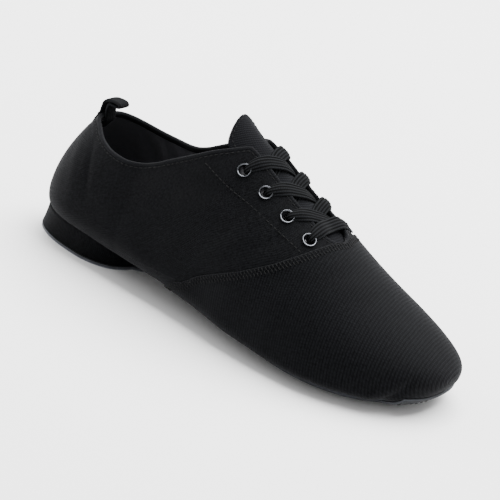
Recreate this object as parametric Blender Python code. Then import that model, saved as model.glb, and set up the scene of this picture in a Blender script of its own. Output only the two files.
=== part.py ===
"""Jazz shoe for the right foot: a canvas lace-up with a split suede sole, empty and flat on the floor.

Metres. The pieces are worked out with the heel's back near x = 0, the toe at +X, the inner (big toe)
side at +Y and the floor at z = 0. At the end the whole shoe is moved so that the origin lies under
the middle of its box.

Every piece that touches the canvas upper is laid on the same surface, outside(share, angle, side):
share runs from heel to toe, angle from -90 degrees under the foot through 0 at the widest place to
90 degrees on the ridge, and side is INNER or OUTER.
"""

import math

import bmesh
import bpy
import numpy as np
from mathutils import Matrix, Vector

# Main sizes of the shoe
LENGTH = 0.241
BALL_WIDTH = 0.086
HEEL_WIDTH = 0.064
INSTEP_HEIGHT = 0.092  # ridge of the last where the collar ends
COLLAR_HEIGHT = 0.0676  # top of the collar at the back
HEEL_LIFT = 0.0088  # underside of the canvas at the heel
TOE_SPRING = 0.0042
TOE_TIP_HEIGHT = 0.0178
TOE_SWING = 0.0100  # how far the tip leans to the inner side
TOE_SWING_START = 0.45  # share of LENGTH from which the forefoot leans inward
HEEL_BACK_LEAN = 0.0177  # the back curve at collar height, ahead of its fullest place
HEEL_BACK_CURL = 0.0040  # the same at the bottom edge
HEEL_BACK_FULLEST = 0.33  # share of COLLAR_HEIGHT at which the back curve is fullest
HEEL_BACK_REACH = 0.30  # share of LENGTH over which the back curve fades

# Roundness of the ends, seen from above (plan) and from the side (edge); a power of 2 is an ellipse
HEEL_PLAN_ROUND = 0.030
HEEL_PLAN_POWER = 2.1
HEEL_EDGE_ROUND = 0.008
HEEL_EDGE_RISE = 0.0032
TOE_PLAN_ROUND = 0.050
TOE_PLAN_POWER = 2.2
TOE_CROWN_ROUND = 0.027
TOE_EDGE_ROUND = 0.016

# Materials' thicknesses and the gap that pieces keep
WALL = 0.0018  # canvas and lining
CLEARANCE = 0.0003
SEAT_GAP = 0.0006  # at the heel's seat and round the insole, where both pieces curve tightly
TONGUE_GAP = 0.0007  # between the tongue and the facings over it
PAD_THICKNESS = 0.0016
PATCH_THICKNESS = 0.0010
INSOLE_THICKNESS = 0.0015
TONGUE_THICKNESS = 0.0016
VAMP_STEP = 0.0007  # the vamp's folded edge laps over the quarters
PRESS = 0.0003  # how much the forefoot pad is pressed flat where it stands

# Opening of the upper
THROAT_AT = 0.7033 * LENGTH
FACINGS_START = 0.4689 * LENGTH
FACING_GAP = 0.0190
THROAT_ROUND = 0.0090

# Eyelets
EYELETS_A_SIDE = 4
EYELET_FIRST_AT = 0.4834 * LENGTH
EYELET_LAST_AT = 0.6639 * LENGTH
EYELET_SPREAD = 0.0360  # across the gap, centre to centre
EYELET_RIM = 0.0076
EYELET_HOLE = 0.0050
EYELET_METAL = 0.0004
EYELET_RISE = 0.0009  # height of the rolled rim
EYELET_SEGMENTS = 12

# Lace
LACE_WIDTH = 0.0080
LACE_THICKNESS = 0.0011
LACE_END = 0.09  # a strip stops this share of its run short of the facing that it goes under
LACE_LIFT = 0.0007  # a lower strip's middle line over its place flat on the tongue
LACE_OVERLAP = 0.0003  # how deep the upper strip sinks into the lower one where they cross
LACE_POINTS = 9
STRIP_FLAT = 0.84  # share of a strip's width between its thin edges

# Sole pieces, seen from below
FOREPAD_LENGTH = 0.086
FOREPAD_WIDTH = 0.070
FOREPAD_MIDDLE = 0.7593 * LENGTH
FOREPAD_POWER = 2.2  # 2 is an ellipse
TOE_PATCH_GAP = 0.0030
TOE_PATCH_WIDTH = 0.0580
TOE_PATCH_HEIGHT = 0.0150  # its upper edge round the tip
HEEL_FRONT = 0.0680
HEEL_CORNER = 0.0070
HEEL_FLARE = 0.0022
HEEL_BAND_HEIGHT = 0.0130
HEEL_BAND_FADE = 0.0300  # over this much of the front the band sinks under the foot
HEEL_BAND_POWER = 1.6  # how suddenly it sinks
HEEL_BAND_THICKNESS = 0.0009
HEEL_PAD_EDGE = 0.0004  # the suede stands this far beyond the block
SOLE_HOLE_MARGIN = 0.0100  # canvas turned in under each pad
HEEL_HOLE_ROUND = 0.0180
INSOLE_MARGIN = 0.0050
INSOLE_BACK = 0.0029
INSOLE_TOE_GAP = 0.0036
INSOLE_FRONT = LENGTH - INSOLE_TOE_GAP

# Tongue
TONGUE_WIDTH = 0.0350
TONGUE_TIP_AT = 0.3880 * LENGTH
TONGUE_INNER_ROUND = 0.0120  # the tip is fuller on the outer side
TONGUE_OUTER_ROUND = 0.0060
TONGUE_FOOT_AT = 0.7676 * LENGTH

# Pull loop at the back
LOOP_WIDTH = 0.0085
LOOP_WEB = 0.0010
LOOP_HEIGHT = 0.0086
LOOP_REACH = 0.0116
LOOP_TAIL = 0.0060

# Grid of the upper
QUARTER_HEEL_STATIONS = 18
QUARTER_FACING_STATIONS = 9
VAMP_STATIONS = 15
HEEL_STATIONS = 16
HEEL_ROWS = 6
HEEL_BAND_ROWS = 3
TOE_PATCH_STATIONS = 14
FOREPAD_STATIONS = 18
INSOLE_STATIONS = 22
INSOLE_ROWS = 4
TONGUE_TIP_STATIONS = 6
TONGUE_STATIONS = 13
PIECE_ROWS = 5
LOOP_STATIONS = 26
ROWS = 14
ROW_TURN = math.radians(12.0)  # about how far a row turns round the section
ROW_STEP = 0.0080  # and how far it steps along the vamp's edge
SEAM_STEP = 0.0012

INNER, OUTER = 1.0, -1.0
SIDES = (INNER, OUTER)

# Cross sections of the last. along is a share of LENGTH; inner and outer are half widths as shares
# of the local width; seat is a share of the heel's lift over the forefoot; spring a share of
# TOE_SPRING; widest and crown are heights as shares of INSTEP_HEIGHT; the powers set how square the
# lower and upper halves are (2 is an ellipse).
SECTION_COLUMNS = ("along", "inner", "outer", "seat", "spring", "widest", "crown", "lower", "upper")
SECTIONS = (
    (0.00, 0.462, 0.440, 1.00, 0.00, 0.287, 1.130, 2.6, 2.6),
    (0.08, 0.478, 0.472, 1.00, 0.00, 0.287, 1.130, 2.6, 2.6),
    (0.16, 0.487, 0.506, 0.90, 0.00, 0.287, 1.125, 2.6, 2.5),
    (0.26, 0.484, 0.528, 0.60, 0.00, 0.283, 1.110, 2.5, 2.2),
    (0.38, 0.452, 0.506, 0.46, 0.00, 0.259, 1.085, 2.5, 1.95),
    (0.48, 0.452, 0.499, 0.33, 0.00, 0.220, 1.000, 2.6, 1.8),
    (0.58, 0.458, 0.521, 0.12, 0.00, 0.182, 0.848, 2.7, 1.85),
    (0.68, 0.457, 0.519, 0.00, 0.00, 0.153, 0.700, 2.8, 2.0),
    (0.76, 0.472, 0.526, 0.00, 0.00, 0.134, 0.565, 2.8, 2.1),
    (0.84, 0.474, 0.498, 0.00, 0.10, 0.130, 0.447, 2.8, 2.2),
    (0.92, 0.458, 0.469, 0.00, 0.45, 0.145, 0.348, 2.6, 2.3),
    (1.00, 0.445, 0.429, 0.00, 1.00, 0.172, 0.290, 2.4, 2.3),
)
HEEL_SHARE, BALL_SHARE = 0.26, 0.68  # between these the local width grows from heel to ball

# Height of the collar's edge, as a share of COLLAR_HEIGHT, at shares of LENGTH
RIM_COLUMNS = ("along", "height")
RIM = (
    (0.00, 1.000),
    (0.02, 0.995),
    (0.05, 0.982),
    (0.08, 0.957),
    (0.12, 0.926),
    (0.17, 0.900),
    (0.21, 0.895),
    (0.25, 0.914),
    (0.29, 0.970),
    (0.32, 1.038),
    (0.36, 1.128),
    (0.41, 1.240),
    (0.47, 1.340),
)

# Where the vamp's edge crosses each angle of the section, as a share of LENGTH
SEAM_COLUMNS = ("angle", "along")
SEAM = (
    (-90.0, 0.375),
    (-40.0, 0.395),
    (-13.0, 0.425),
    (5.0, 0.475),
    (15.0, 0.528),
    (26.0, 0.584),
    (43.0, 0.645),
    (63.0, 0.681),
    (90.0, THROAT_AT / LENGTH),
)

# How far the heel is drawn in toward the collar's height, as a share of its half width
DRAW_COLUMNS = ("along", "inner", "outer")
DRAW = (
    (0.00, 0.33, 0.30),
    (0.05, 0.41, 0.40),
    (0.08, 0.38, 0.38),
    (0.12, 0.31, 0.32),
    (0.17, 0.19, 0.24),
    (0.21, 0.14, 0.22),
    (0.26, 0.17, 0.25),
    (0.31, 0.17, 0.20),
    (0.37, 0.10, 0.13),
    (0.44, 0.03, 0.04),
    (0.50, 0.00, 0.00),
)

# Pull loop's middle line above the collar. Each row is a point: ahead, a share of LOOP_REACH, and
# up, a share of LOOP_HEIGHT
LOOP_LINE = (
    (0.03, 0.35),
    (0.10, 0.61),
    (0.26, 0.85),
    (0.52, 0.97),
    (0.78, 0.99),
    (0.96, 0.89),
    (0.98, 0.70),
    (0.83, 0.54),
    (0.61, 0.42),
    (0.43, 0.24),
)

# Looks that tell the pieces apart: colour, roughness, metallic
FINISHES = {
    "canvas": ((0.030, 0.031, 0.034), 0.92, 0.0),
    "suede": ((0.055, 0.056, 0.062), 0.95, 0.0),
    "lining": ((0.020, 0.020, 0.022), 0.55, 0.0),
    "lace": ((0.045, 0.045, 0.048), 0.85, 0.0),
    "webbing": ((0.025, 0.025, 0.027), 0.90, 0.0),
    "steel": ((0.62, 0.63, 0.65), 0.28, 1.0),
}


def smooth_through(known, values, wanted):
    """Cubic curve through (known, values), its slopes held so that it never overshoots a row."""
    known, values = np.asarray(known, float), np.asarray(values, float)
    wanted = np.asarray(wanted, float)
    step = np.diff(known)
    rise = np.diff(values) / step
    slope = np.zeros_like(values)
    slope[0], slope[-1] = rise[0], rise[-1]
    steady = rise[:-1] * rise[1:] > 0.0
    pair = np.where(steady, rise[:-1] + rise[1:], 1.0)
    slope[1:-1] = np.where(steady, 2.0 * rise[:-1] * rise[1:] / pair, 0.0)
    i = np.clip(np.searchsorted(known, wanted) - 1, 0, len(step) - 1)
    t = np.clip((wanted - known[i]) / step[i], 0.0, 1.0)
    start = (1.0 + 2.0 * t) * (1.0 - t) ** 2 * values[i] + t * (1.0 - t) ** 2 * step[i] * slope[i]
    end = t * t * (3.0 - 2.0 * t) * values[i + 1] + t * t * (t - 1.0) * step[i] * slope[i + 1]
    return start + end


def column(columns, rows, name):
    """One named column of a table."""
    return [row[columns.index(name)] for row in rows]


def closing(distance, radius, power=2.0):
    """Share of the full size at a distance from an end that rounds off over a radius."""
    t = np.clip(np.asarray(distance, float) / radius, 0.0, 1.0)
    return (1.0 - (1.0 - t) ** power) ** (1.0 / power)


def section(share, side):
    """Size of the last's cross section: middle, half, low, widest, crown, lower and upper power."""
    share = np.asarray(share, float)
    along = column(SECTION_COLUMNS, SECTIONS, "along")

    def read(name):
        return smooth_through(along, column(SECTION_COLUMNS, SECTIONS, name), share)

    at = share * LENGTH
    from_toe = LENGTH - at
    width = np.interp(share, (HEEL_SHARE, BALL_SHARE), (HEEL_WIDTH, BALL_WIDTH))
    half = read("inner" if side == INNER else "outer") * width
    half = half * closing(at, HEEL_PLAN_ROUND, HEEL_PLAN_POWER)
    half = half * closing(from_toe, TOE_PLAN_ROUND, TOE_PLAN_POWER)
    forefoot_lift = PAD_THICKNESS + CLEARANCE - PRESS
    low = forefoot_lift + (HEEL_LIFT - forefoot_lift) * read("seat") + TOE_SPRING * read("spring")
    low = low + HEEL_EDGE_RISE * (1.0 - closing(at, HEEL_EDGE_ROUND))
    low = TOE_TIP_HEIGHT + (low - TOE_TIP_HEIGHT) * closing(from_toe, TOE_EDGE_ROUND)
    rounding = closing(from_toe, TOE_CROWN_ROUND)
    crown = TOE_TIP_HEIGHT + (read("crown") * INSTEP_HEIGHT - TOE_TIP_HEIGHT) * rounding
    widest = TOE_TIP_HEIGHT + (read("widest") * INSTEP_HEIGHT - TOE_TIP_HEIGHT) * rounding
    middle = TOE_SWING * np.clip((share - TOE_SWING_START) / (1.0 - TOE_SWING_START), 0.0, 1.0) ** 2
    return middle, half, low, widest, crown, read("lower"), read("upper")


def back_shift(share, height):
    """How far the heel's back curve is ahead of its fullest place at this height."""
    t = height / COLLAR_HEIGHT
    curl = HEEL_BACK_CURL * np.clip(1.0 - t / HEEL_BACK_FULLEST, 0.0, None) ** 2
    over = np.clip((t - HEEL_BACK_FULLEST) / (1.0 - HEEL_BACK_FULLEST), 0.0, None)
    fade = np.clip(1.0 - share / HEEL_BACK_REACH, 0.0, 1.0)
    return (curl + HEEL_BACK_LEAN * over**1.8) * fade**1.5


def drawn_in(share, height, side):
    """Share of its half width by which the heel is drawn in at this height."""
    over = (height / COLLAR_HEIGHT - HEEL_BACK_FULLEST) / (1.0 - HEEL_BACK_FULLEST)
    word = "inner" if side == INNER else "outer"
    most = smooth_through(column(DRAW_COLUMNS, DRAW, "along"), column(DRAW_COLUMNS, DRAW, word), share)
    return most * np.clip(over, 0.0, 1.0) ** 2


def outside(share, angle, side):
    """Point on the outside of the canvas. angle is in radians; arrays are taken too."""
    middle, half, low, widest, crown, lower, upper = section(share, side)
    turn, lift = np.abs(np.cos(angle)), np.sin(angle)
    power = np.where(lift < 0.0, lower, upper)
    reach = np.where(lift < 0.0, widest - low, crown - widest)
    height = widest + np.sign(lift) * reach * np.abs(lift) ** (2.0 / power)
    half = half * (1.0 - drawn_in(share, height, side))
    across = middle + side * half * turn ** (2.0 / power)
    return np.stack([share * LENGTH + back_shift(share, height), across, height], axis=-1)


def angle_at_height(share, side, height):
    """Angle of the upper half of the section at this height."""
    _, _, _, widest, crown, _, upper = section(share, side)
    lift = np.clip((height - widest) / (crown - widest), 0.0, 1.0)
    return np.arcsin(lift ** (upper / 2.0))


def angle_below(share, side, height):
    """Angle of the lower half of the section at this height."""
    _, _, low, widest, _, lower, _ = section(share, side)
    depth = np.clip((widest - height) / (widest - low), 0.0, 1.0)
    return -np.arcsin(depth ** (lower / 2.0))


def angle_at_reach(share, side, reach, above):
    """Angle at this distance from the section's middle, above or below the widest place."""
    _, half, _, _, _, lower, upper = section(share, side)
    turn = np.clip(reach / np.maximum(half, 1e-9), 0.0, 1.0)
    if above:
        return np.arccos(turn ** (upper / 2.0))
    return -np.arccos(turn ** (lower / 2.0))


def rim_angle(share, side):
    """Where the upper ends above: the collar, then the facing's edge, then the ridge."""
    share = np.asarray(share, float)
    height = COLLAR_HEIGHT * smooth_through(
        column(RIM_COLUMNS, RIM, "along"), column(RIM_COLUMNS, RIM, "height"), share
    )
    at = share * LENGTH
    facing = angle_at_reach(share, side, FACING_GAP / 2.0 * closing(THROAT_AT - at, THROAT_ROUND), True)
    collar = angle_at_height(share, side, height)
    front = np.where(at < FACINGS_START, np.minimum(collar, facing), facing)
    return np.where(at < FACINGS_START / 2.0, collar, front)


def forepad_half(at, margin=0.0):
    """Half width of the forefoot pad at a place along the shoe, less a margin all round."""
    long, wide = FOREPAD_LENGTH / 2.0 - margin, FOREPAD_WIDTH / 2.0 - margin
    t = np.clip(1.0 - np.abs((at - FOREPAD_MIDDLE) / long) ** FOREPAD_POWER, 0.0, None)
    return wide * t ** (1.0 / FOREPAD_POWER)


def heel_reach(share, side):
    """Distance from the middle at which the heel block's band ends on the canvas."""
    share = np.asarray(share, float)
    at = share * LENGTH
    _, half, low, widest, _, lower, _ = section(share, side)
    height = HEEL_BAND_HEIGHT * closing(HEEL_FRONT - at, HEEL_BAND_FADE, HEEL_BAND_POWER)
    height = np.clip(height, low + 0.02 * (widest - low), widest)
    reach = half * (1.0 - ((widest - height) / (widest - low)) ** lower) ** (1.0 / lower)
    corner = HEEL_CORNER * (1.0 - closing(HEEL_FRONT - at, HEEL_CORNER))
    return np.clip(reach - corner, 0.0, None)


def sole_angle(share, side):
    """Where the canvas ends below: at the holes that the forefoot pad and the heel close."""
    share = np.asarray(share, float)
    at = share * LENGTH
    ends = closing(at - SOLE_HOLE_MARGIN, HEEL_HOLE_ROUND) * closing(
        HEEL_FRONT - SOLE_HOLE_MARGIN - at, HEEL_HOLE_ROUND
    )
    heel_hole = (heel_reach(share, side) - SOLE_HOLE_MARGIN) * ends
    hole = np.maximum(forepad_half(at, SOLE_HOLE_MARGIN), heel_hole)
    edge = angle_at_reach(share, side, hole, above=False)
    return np.where(hole > 0.0, edge, -math.pi / 2.0)


def spread(low, high, rows):
    """Angles of one station from its lower to its upper limit."""
    return low + (high - low) * np.linspace(0.0, 1.0, rows + 1)


def row_angles(share, side, level):
    """Angle of a row, level 0 at the sole's holes to 1 at the upper's top edge."""
    low = sole_angle(share, side)
    return low + (rim_angle(share, side) - low) * level


def seam_shares(levels, side):
    """Share of the length at which rows at these levels meet the vamp's edge."""
    angles, alongs = column(SEAM_COLUMNS, SEAM, "angle"), column(SEAM_COLUMNS, SEAM, "along")
    share = np.full(len(levels), 0.5)
    for _ in range(60):
        crossed = smooth_through(angles, alongs, np.degrees(row_angles(share, side, levels)))
        share = 0.5 * (share + crossed)
    return np.where(levels < 1.0, share, THROAT_AT / LENGTH)


def row_levels():
    """Levels of the rows: a row for each turn of the section or long step along the vamp's edge."""
    fine = np.linspace(0.0, 1.0, 20 * ROWS + 1)
    shares = seam_shares(fine, OUTER)
    turn = np.diff(row_angles(shares, OUTER, fine)) / ROW_TURN
    step = np.diff(shares) * LENGTH / ROW_STEP
    run = np.concatenate([[0.0], np.cumsum(np.hypot(turn, step))])
    return np.interp(np.linspace(0.0, run[-1], ROWS + 1), run, fine)


def finish(name):
    """Material with the named finish."""
    material = bpy.data.materials.get(name)
    if material is None:
        colour, roughness, metallic = FINISHES[name]
        material = bpy.data.materials.new(name)
        material.use_nodes = True
        shader = material.node_tree.nodes["Principled BSDF"]
        shader.inputs["Base Color"].default_value = (*colour, 1.0)
        shader.inputs["Roughness"].default_value = roughness
        shader.inputs["Metallic"].default_value = metallic
    return material


def make_object(name, mesh_builder, look, smooth=40.0):
    """Object of a bmesh with one material, shaded smooth but for edges sharper than smooth degrees."""
    mesh = bpy.data.meshes.new(name)
    mesh_builder.to_mesh(mesh)
    mesh_builder.free()
    made = bpy.data.objects.new(name, mesh)
    bpy.context.scene.collection.objects.link(made)
    mesh.materials.append(finish(look))
    mesh.shade_smooth()
    mesh.set_sharp_from_angle(angle=math.radians(smooth))
    return made


def sheet(grids, raised=None):
    """Open sheet over the grids of the two sides, welded where they meet, its faces outward.

    Each grid is an array [station, row, xyz]. raised gives, for each station, how far the sheet
    stands off the surface there.
    """
    built = bmesh.new()
    lifts = built.verts.layers.float.new("lift")
    for side, grid in grids.items():
        verts = [[built.verts.new(point) for point in line] for line in grid]
        for i, line in enumerate(verts):
            for vert in line:
                vert[lifts] = 0.0 if raised is None else raised[i]
        for i in range(len(verts) - 1):
            for j in range(len(verts[0]) - 1):
                loop = [verts[i][j], verts[i + 1][j], verts[i + 1][j + 1], verts[i][j + 1]]
                built.faces.new(loop if side == OUTER else loop[::-1])
    bmesh.ops.remove_doubles(built, verts=built.verts, dist=2e-6)
    bmesh.ops.dissolve_degenerate(built, edges=built.edges, dist=1e-7)
    built.normal_update()
    for vert, normal in [(vert, vert.normal.copy()) for vert in built.verts]:
        vert.co += normal * vert[lifts]
    built.normal_update()
    return built


def thicken(built, start, end, floor=None):
    """Closes a sheet into a wall that runs from start to end off it, outward; floor is its lowest z."""
    sheet_faces = list(built.faces)
    outer = {vert: vert.co + vert.normal * end for vert in built.verts}
    inner = {vert: vert.co + vert.normal * start for vert in built.verts}
    copies = {vert: built.verts.new(inner[vert]) for vert in outer}
    rims = [edge for edge in built.edges if edge.is_boundary]
    for edge in rims:
        loop = edge.link_loops[0]
        first, second = loop.vert, loop.link_loop_next.vert
        built.faces.new([second, first, copies[first], copies[second]])
    for face in sheet_faces:
        built.faces.new([copies[vert] for vert in reversed(face.verts)])
    for vert, place in outer.items():
        vert.co = place
    if floor is not None:
        for vert in built.verts:
            vert.co.z = max(vert.co.z, floor)
    bmesh.ops.triangulate(built, faces=built.faces, quad_method="SHORT_EDGE")
    built.normal_update()
    return built


def laid(name, look, shares, low, high, rows, start, end, floor=None):
    """Piece laid on the outside of the canvas between two limits of angle."""
    grids = {}
    for side in SIDES:
        grids[side] = np.array(
            [outside(s, spread(low(s, side), high(s, side), rows), side) for s in shares]
        )
    return make_object(name, thicken(sheet(grids), start, end, floor), look)


def eased(first, last, count, at_first=True, at_last=True):
    """Places from first to last, closer together toward the ends that are asked for."""
    t = np.linspace(0.0, 1.0, count + 1)
    if at_first and at_last:
        t = (1.0 - np.cos(math.pi * t)) / 2.0
    elif at_first:
        t = 1.0 - np.cos(math.pi / 2.0 * t)
    elif at_last:
        t = np.sin(math.pi / 2.0 * t)
    return first + (last - first) * t


def upper_grids():
    """Stations of the upper on both sides, with the raise of each; the seam is a pair of stations."""
    levels = row_levels()
    corner = FACINGS_START / THROAT_AT
    quarter = np.concatenate(
        [
            eased(0.0, corner, QUARTER_HEEL_STATIONS, at_last=False),
            np.linspace(corner, 1.0, QUARTER_FACING_STATIONS + 1)[1:],
        ]
    )
    step = SEAM_STEP / LENGTH
    vamp = eased(0.0, 1.0, VAMP_STATIONS, at_first=False)
    grids = {}
    for side in SIDES:
        seam = seam_shares(levels, side)
        behind = [part * seam for part in quarter]
        ahead = [seam + step + (1.0 - seam - step) * part for part in vamp]
        stations = [np.minimum(places, 1.0 - 1e-9) for places in behind + ahead]
        grids[side] = np.array(
            [outside(places, row_angles(places, side, levels), side) for places in stations]
        )
    raised = [0.0] * len(quarter) + [VAMP_STEP] * len(vamp)
    return grids, raised


def make_upper():
    """Canvas upper: one hollow wall, open at the collar, the throat and under both pads."""
    grids, raised = upper_grids()
    return make_object("upper", thicken(sheet(grids, raised), -WALL, 0.0), "canvas")


def on_top(at, across, off):
    """Point off the canvas's top surface at a place along and across, and the surface's normal."""

    def point(place, y):
        side = INNER if y >= section(place / LENGTH, INNER)[0] else OUTER
        middle, half, _, widest, crown, _, upper = section(place / LENGTH, side)
        turn = min(abs(y - middle) / half, 1.0)
        return Vector((place, y, widest + (crown - widest) * (1.0 - turn**upper) ** (1.0 / upper)))

    small = 1e-4
    here = point(at, across)
    normal = (point(at + small, across) - here).cross(point(at, across + small) - here).normalized()
    return here + normal * off, normal


def eyelet_places():
    """Place along and across of each eyelet, by name."""
    places = {}
    ats = np.linspace(EYELET_FIRST_AT, EYELET_LAST_AT, EYELETS_A_SIDE)
    for side, word in ((INNER, "inner"), (OUTER, "outer")):
        for count, at in enumerate(ats, start=1):
            middle = float(section(at / LENGTH, side)[0])
            places[f"eyelet_{word}_{count}"] = (float(at), middle + side * EYELET_SPREAD / 2.0)
    return places


def standing(origin, normal):
    """Matrix that puts a turned piece's axis along the normal at the origin."""
    return Matrix.Translation(origin) @ normal.to_track_quat("Z", "Y").to_matrix().to_4x4()


def turned(profile, segments, matrix):
    """Ring turned from a closed profile of (radius, height) points."""
    built = bmesh.new()
    rings = []
    for k in range(segments):
        turn = 2.0 * math.pi * k / segments
        rings.append(
            [
                built.verts.new(matrix @ Vector((r * math.cos(turn), r * math.sin(turn), h)))
                for r, h in profile
            ]
        )
    for k, ring in enumerate(rings):
        after = rings[(k + 1) % segments]
        for j in range(len(profile)):
            n = (j + 1) % len(profile)
            built.faces.new([ring[j], after[j], after[n], ring[n]])
    bmesh.ops.recalc_face_normals(built, faces=built.faces)
    return built


def make_eyelets():
    """Steel eyelets: a rolled rim outside, a barrel through the canvas and a narrow flange inside."""
    rim, hole = EYELET_RIM / 2.0, EYELET_HOLE / 2.0
    barrel = hole + EYELET_METAL
    top = eyelet_top()
    under = top - EYELET_RISE
    back = -WALL - CLEARANCE
    profile = (
        (hole, under + EYELET_METAL),
        ((hole + rim) / 2.0, top),
        (rim, under + EYELET_METAL),
        (rim, under),
        (barrel, under),
        (barrel, back),
        (hole, back),
    )
    for name, (at, across) in eyelet_places().items():
        origin, normal = on_top(at, across, 0.0)
        made = turned(profile, EYELET_SEGMENTS, standing(origin, normal))
        make_object(name, made, "steel", smooth=35.0)


def cut_eyelet_holes(upper):
    """Holes through the canvas for the eyelets' barrels."""
    radius = EYELET_HOLE / 2.0 + EYELET_METAL + CLEARANCE
    built = bmesh.new()
    for at, across in eyelet_places().values():
        origin, normal = on_top(at, across, 0.0)
        bmesh.ops.create_cone(
            built,
            cap_ends=True,
            segments=EYELET_SEGMENTS,
            radius1=radius,
            radius2=radius,
            depth=WALL * 6.0,
            matrix=standing(origin, normal),
        )
    cutter = make_object("eyelet_hole_cutter", built, "canvas")
    cutter.hide_render = True
    cutter.display_type = "WIRE"
    cut = upper.modifiers.new("eyelet_holes", "BOOLEAN")
    cut.operation = "DIFFERENCE"
    cut.object = cutter


def ribbon(line, normals, width, thickness):
    """Flat strip along a line of points, lying square to the normals."""
    built = bmesh.new()
    rings = []
    for i, point in enumerate(line):
        ahead = (line[min(i + 1, len(line) - 1)] - line[max(i - 1, 0)]).normalized()
        across = normals[i].cross(ahead).normalized()
        up = ahead.cross(across).normalized()
        flat = STRIP_FLAT / 2.0
        corners = ((-0.5, 0.0), (-flat, -0.5), (flat, -0.5), (0.5, 0.0), (flat, 0.5), (-flat, 0.5))
        rings.append(
            [built.verts.new(point + across * (a * width) + up * (b * thickness)) for a, b in corners]
        )
    for first, second in zip(rings, rings[1:]):
        for j in range(len(first)):
            n = (j + 1) % len(first)
            built.faces.new([first[j], second[j], second[n], first[n]])
    built.faces.new(rings[0][::-1])
    built.faces.new(rings[-1])
    bmesh.ops.recalc_face_normals(built, faces=built.faces)
    return built


def eyelet_top():
    """Height of an eyelet's rim above the canvas."""
    return CLEARANCE + EYELET_RIM**2 / (4.0 * INSTEP_HEIGHT) + EYELET_RISE


def lace_strip(start, end, offs):
    """Strip of lace over the canvas's top from start to end, each (along, across).

    offs are its middle line's heights off the canvas at the start, past the facing, where the
    strips cross, and at the end.
    """
    line, normals = [], []
    for t in np.linspace(0.0, 1.0, LACE_POINTS):
        at = start[0] + (end[0] - start[0]) * t
        across = start[1] + (end[1] - start[1]) * t
        off = float(smooth_through((0.0, 0.35, 0.65, 1.0), offs, t))
        place, normal = on_top(at, across, off)
        line.append(place)
        normals.append(normal)
    return ribbon(line, normals, LACE_WIDTH, LACE_THICKNESS)


def make_laces():
    """Bar across the lowest eyelets and three crossings above it, each crossing one solid."""
    places = eyelet_places()
    over = eyelet_top() + 2.0 * CLEARANCE + LACE_THICKNESS / 2.0
    on_tongue = LACE_THICKNESS / 2.0 + CLEARANCE - WALL
    last = EYELETS_A_SIDE
    bar = lace_strip(
        places[f"eyelet_outer_{last}"], places[f"eyelet_inner_{last}"], (over, over, over, over)
    )
    make_object("lace_bar", bar, "lace")
    for count in range(1, last):
        strips = []
        over_first = LACE_THICKNESS - LACE_OVERLAP
        for word, other, rise in (("outer", "inner", over_first), ("inner", "outer", 0.0)):
            near, far = places[f"eyelet_{word}_{count}"], places[f"eyelet_{other}_{count + 1}"]
            reach = (EYELET_SPREAD + FACING_GAP) / (2.0 * EYELET_SPREAD) - LACE_END
            end = (near[0] + (far[0] - near[0]) * reach, near[1] + (far[1] - near[1]) * reach)
            middle = on_tongue + LACE_LIFT + rise
            strips.append(lace_strip(near, end, (over, over, middle, on_tongue)))
        crossing = make_object(f"lace_cross_{count}", strips[0], "lace")
        second = make_object(f"lace_cross_{count}_under", strips[1], "lace")
        second.hide_render = True
        second.display_type = "WIRE"
        join = crossing.modifiers.new("crossing", "BOOLEAN")
        join.operation = "UNION"
        join.object = second


def make_insole():
    """Fabric-covered insole lying in the upper."""

    def reach(share, side):
        return np.clip(section(share, side)[1] - INSOLE_MARGIN, 0.0, None)

    def high(share, side):
        return angle_at_reach(share, side, reach(share, side), above=False)

    def low(share, side):
        return -math.pi / 2.0

    shares = eased(INSOLE_BACK, INSOLE_FRONT, INSOLE_STATIONS) / LENGTH
    depth = -WALL - SEAT_GAP
    start = depth - INSOLE_THICKNESS
    return laid("insole", "lining", shares, low, high, INSOLE_ROWS, start, depth)


def make_tongue():
    """Tongue under the facings, free at its rounded tip and stitched under the vamp."""

    def low(share, side):
        tip_round = TONGUE_INNER_ROUND if side == INNER else TONGUE_OUTER_ROUND
        half = TONGUE_WIDTH / 2.0 * closing(share * LENGTH - TONGUE_TIP_AT, tip_round)
        return angle_at_reach(share, side, half, above=True)

    def high(share, side):
        return math.pi / 2.0

    round_end = TONGUE_TIP_AT + max(TONGUE_INNER_ROUND, TONGUE_OUTER_ROUND)
    shares = np.concatenate(
        [
            eased(TONGUE_TIP_AT, round_end, TONGUE_TIP_STATIONS, at_last=False),
            np.linspace(round_end, TONGUE_FOOT_AT, TONGUE_STATIONS + 1)[1:],
        ]
    ) / LENGTH
    depth = -WALL - TONGUE_GAP
    start = depth - TONGUE_THICKNESS
    return laid("tongue", "canvas", shares, low, high, PIECE_ROWS, start, depth)


def make_forefoot_pad():
    """Suede pad under the ball, its edge standing off the canvas and its middle pressed flat."""

    def high(share, side):
        return angle_at_reach(share, side, forepad_half(share * LENGTH), above=False)

    def low(share, side):
        return -math.pi / 2.0

    ends = FOREPAD_MIDDLE - FOREPAD_LENGTH / 2.0, FOREPAD_MIDDLE + FOREPAD_LENGTH / 2.0
    shares = eased(ends[0] + 1e-5, ends[1] - 1e-5, FOREPAD_STATIONS) / LENGTH
    start = CLEARANCE + VAMP_STEP
    end = start + PAD_THICKNESS
    return laid("forefoot_pad", "suede", shares, low, high, PIECE_ROWS, start, end, floor=0.0)


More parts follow.
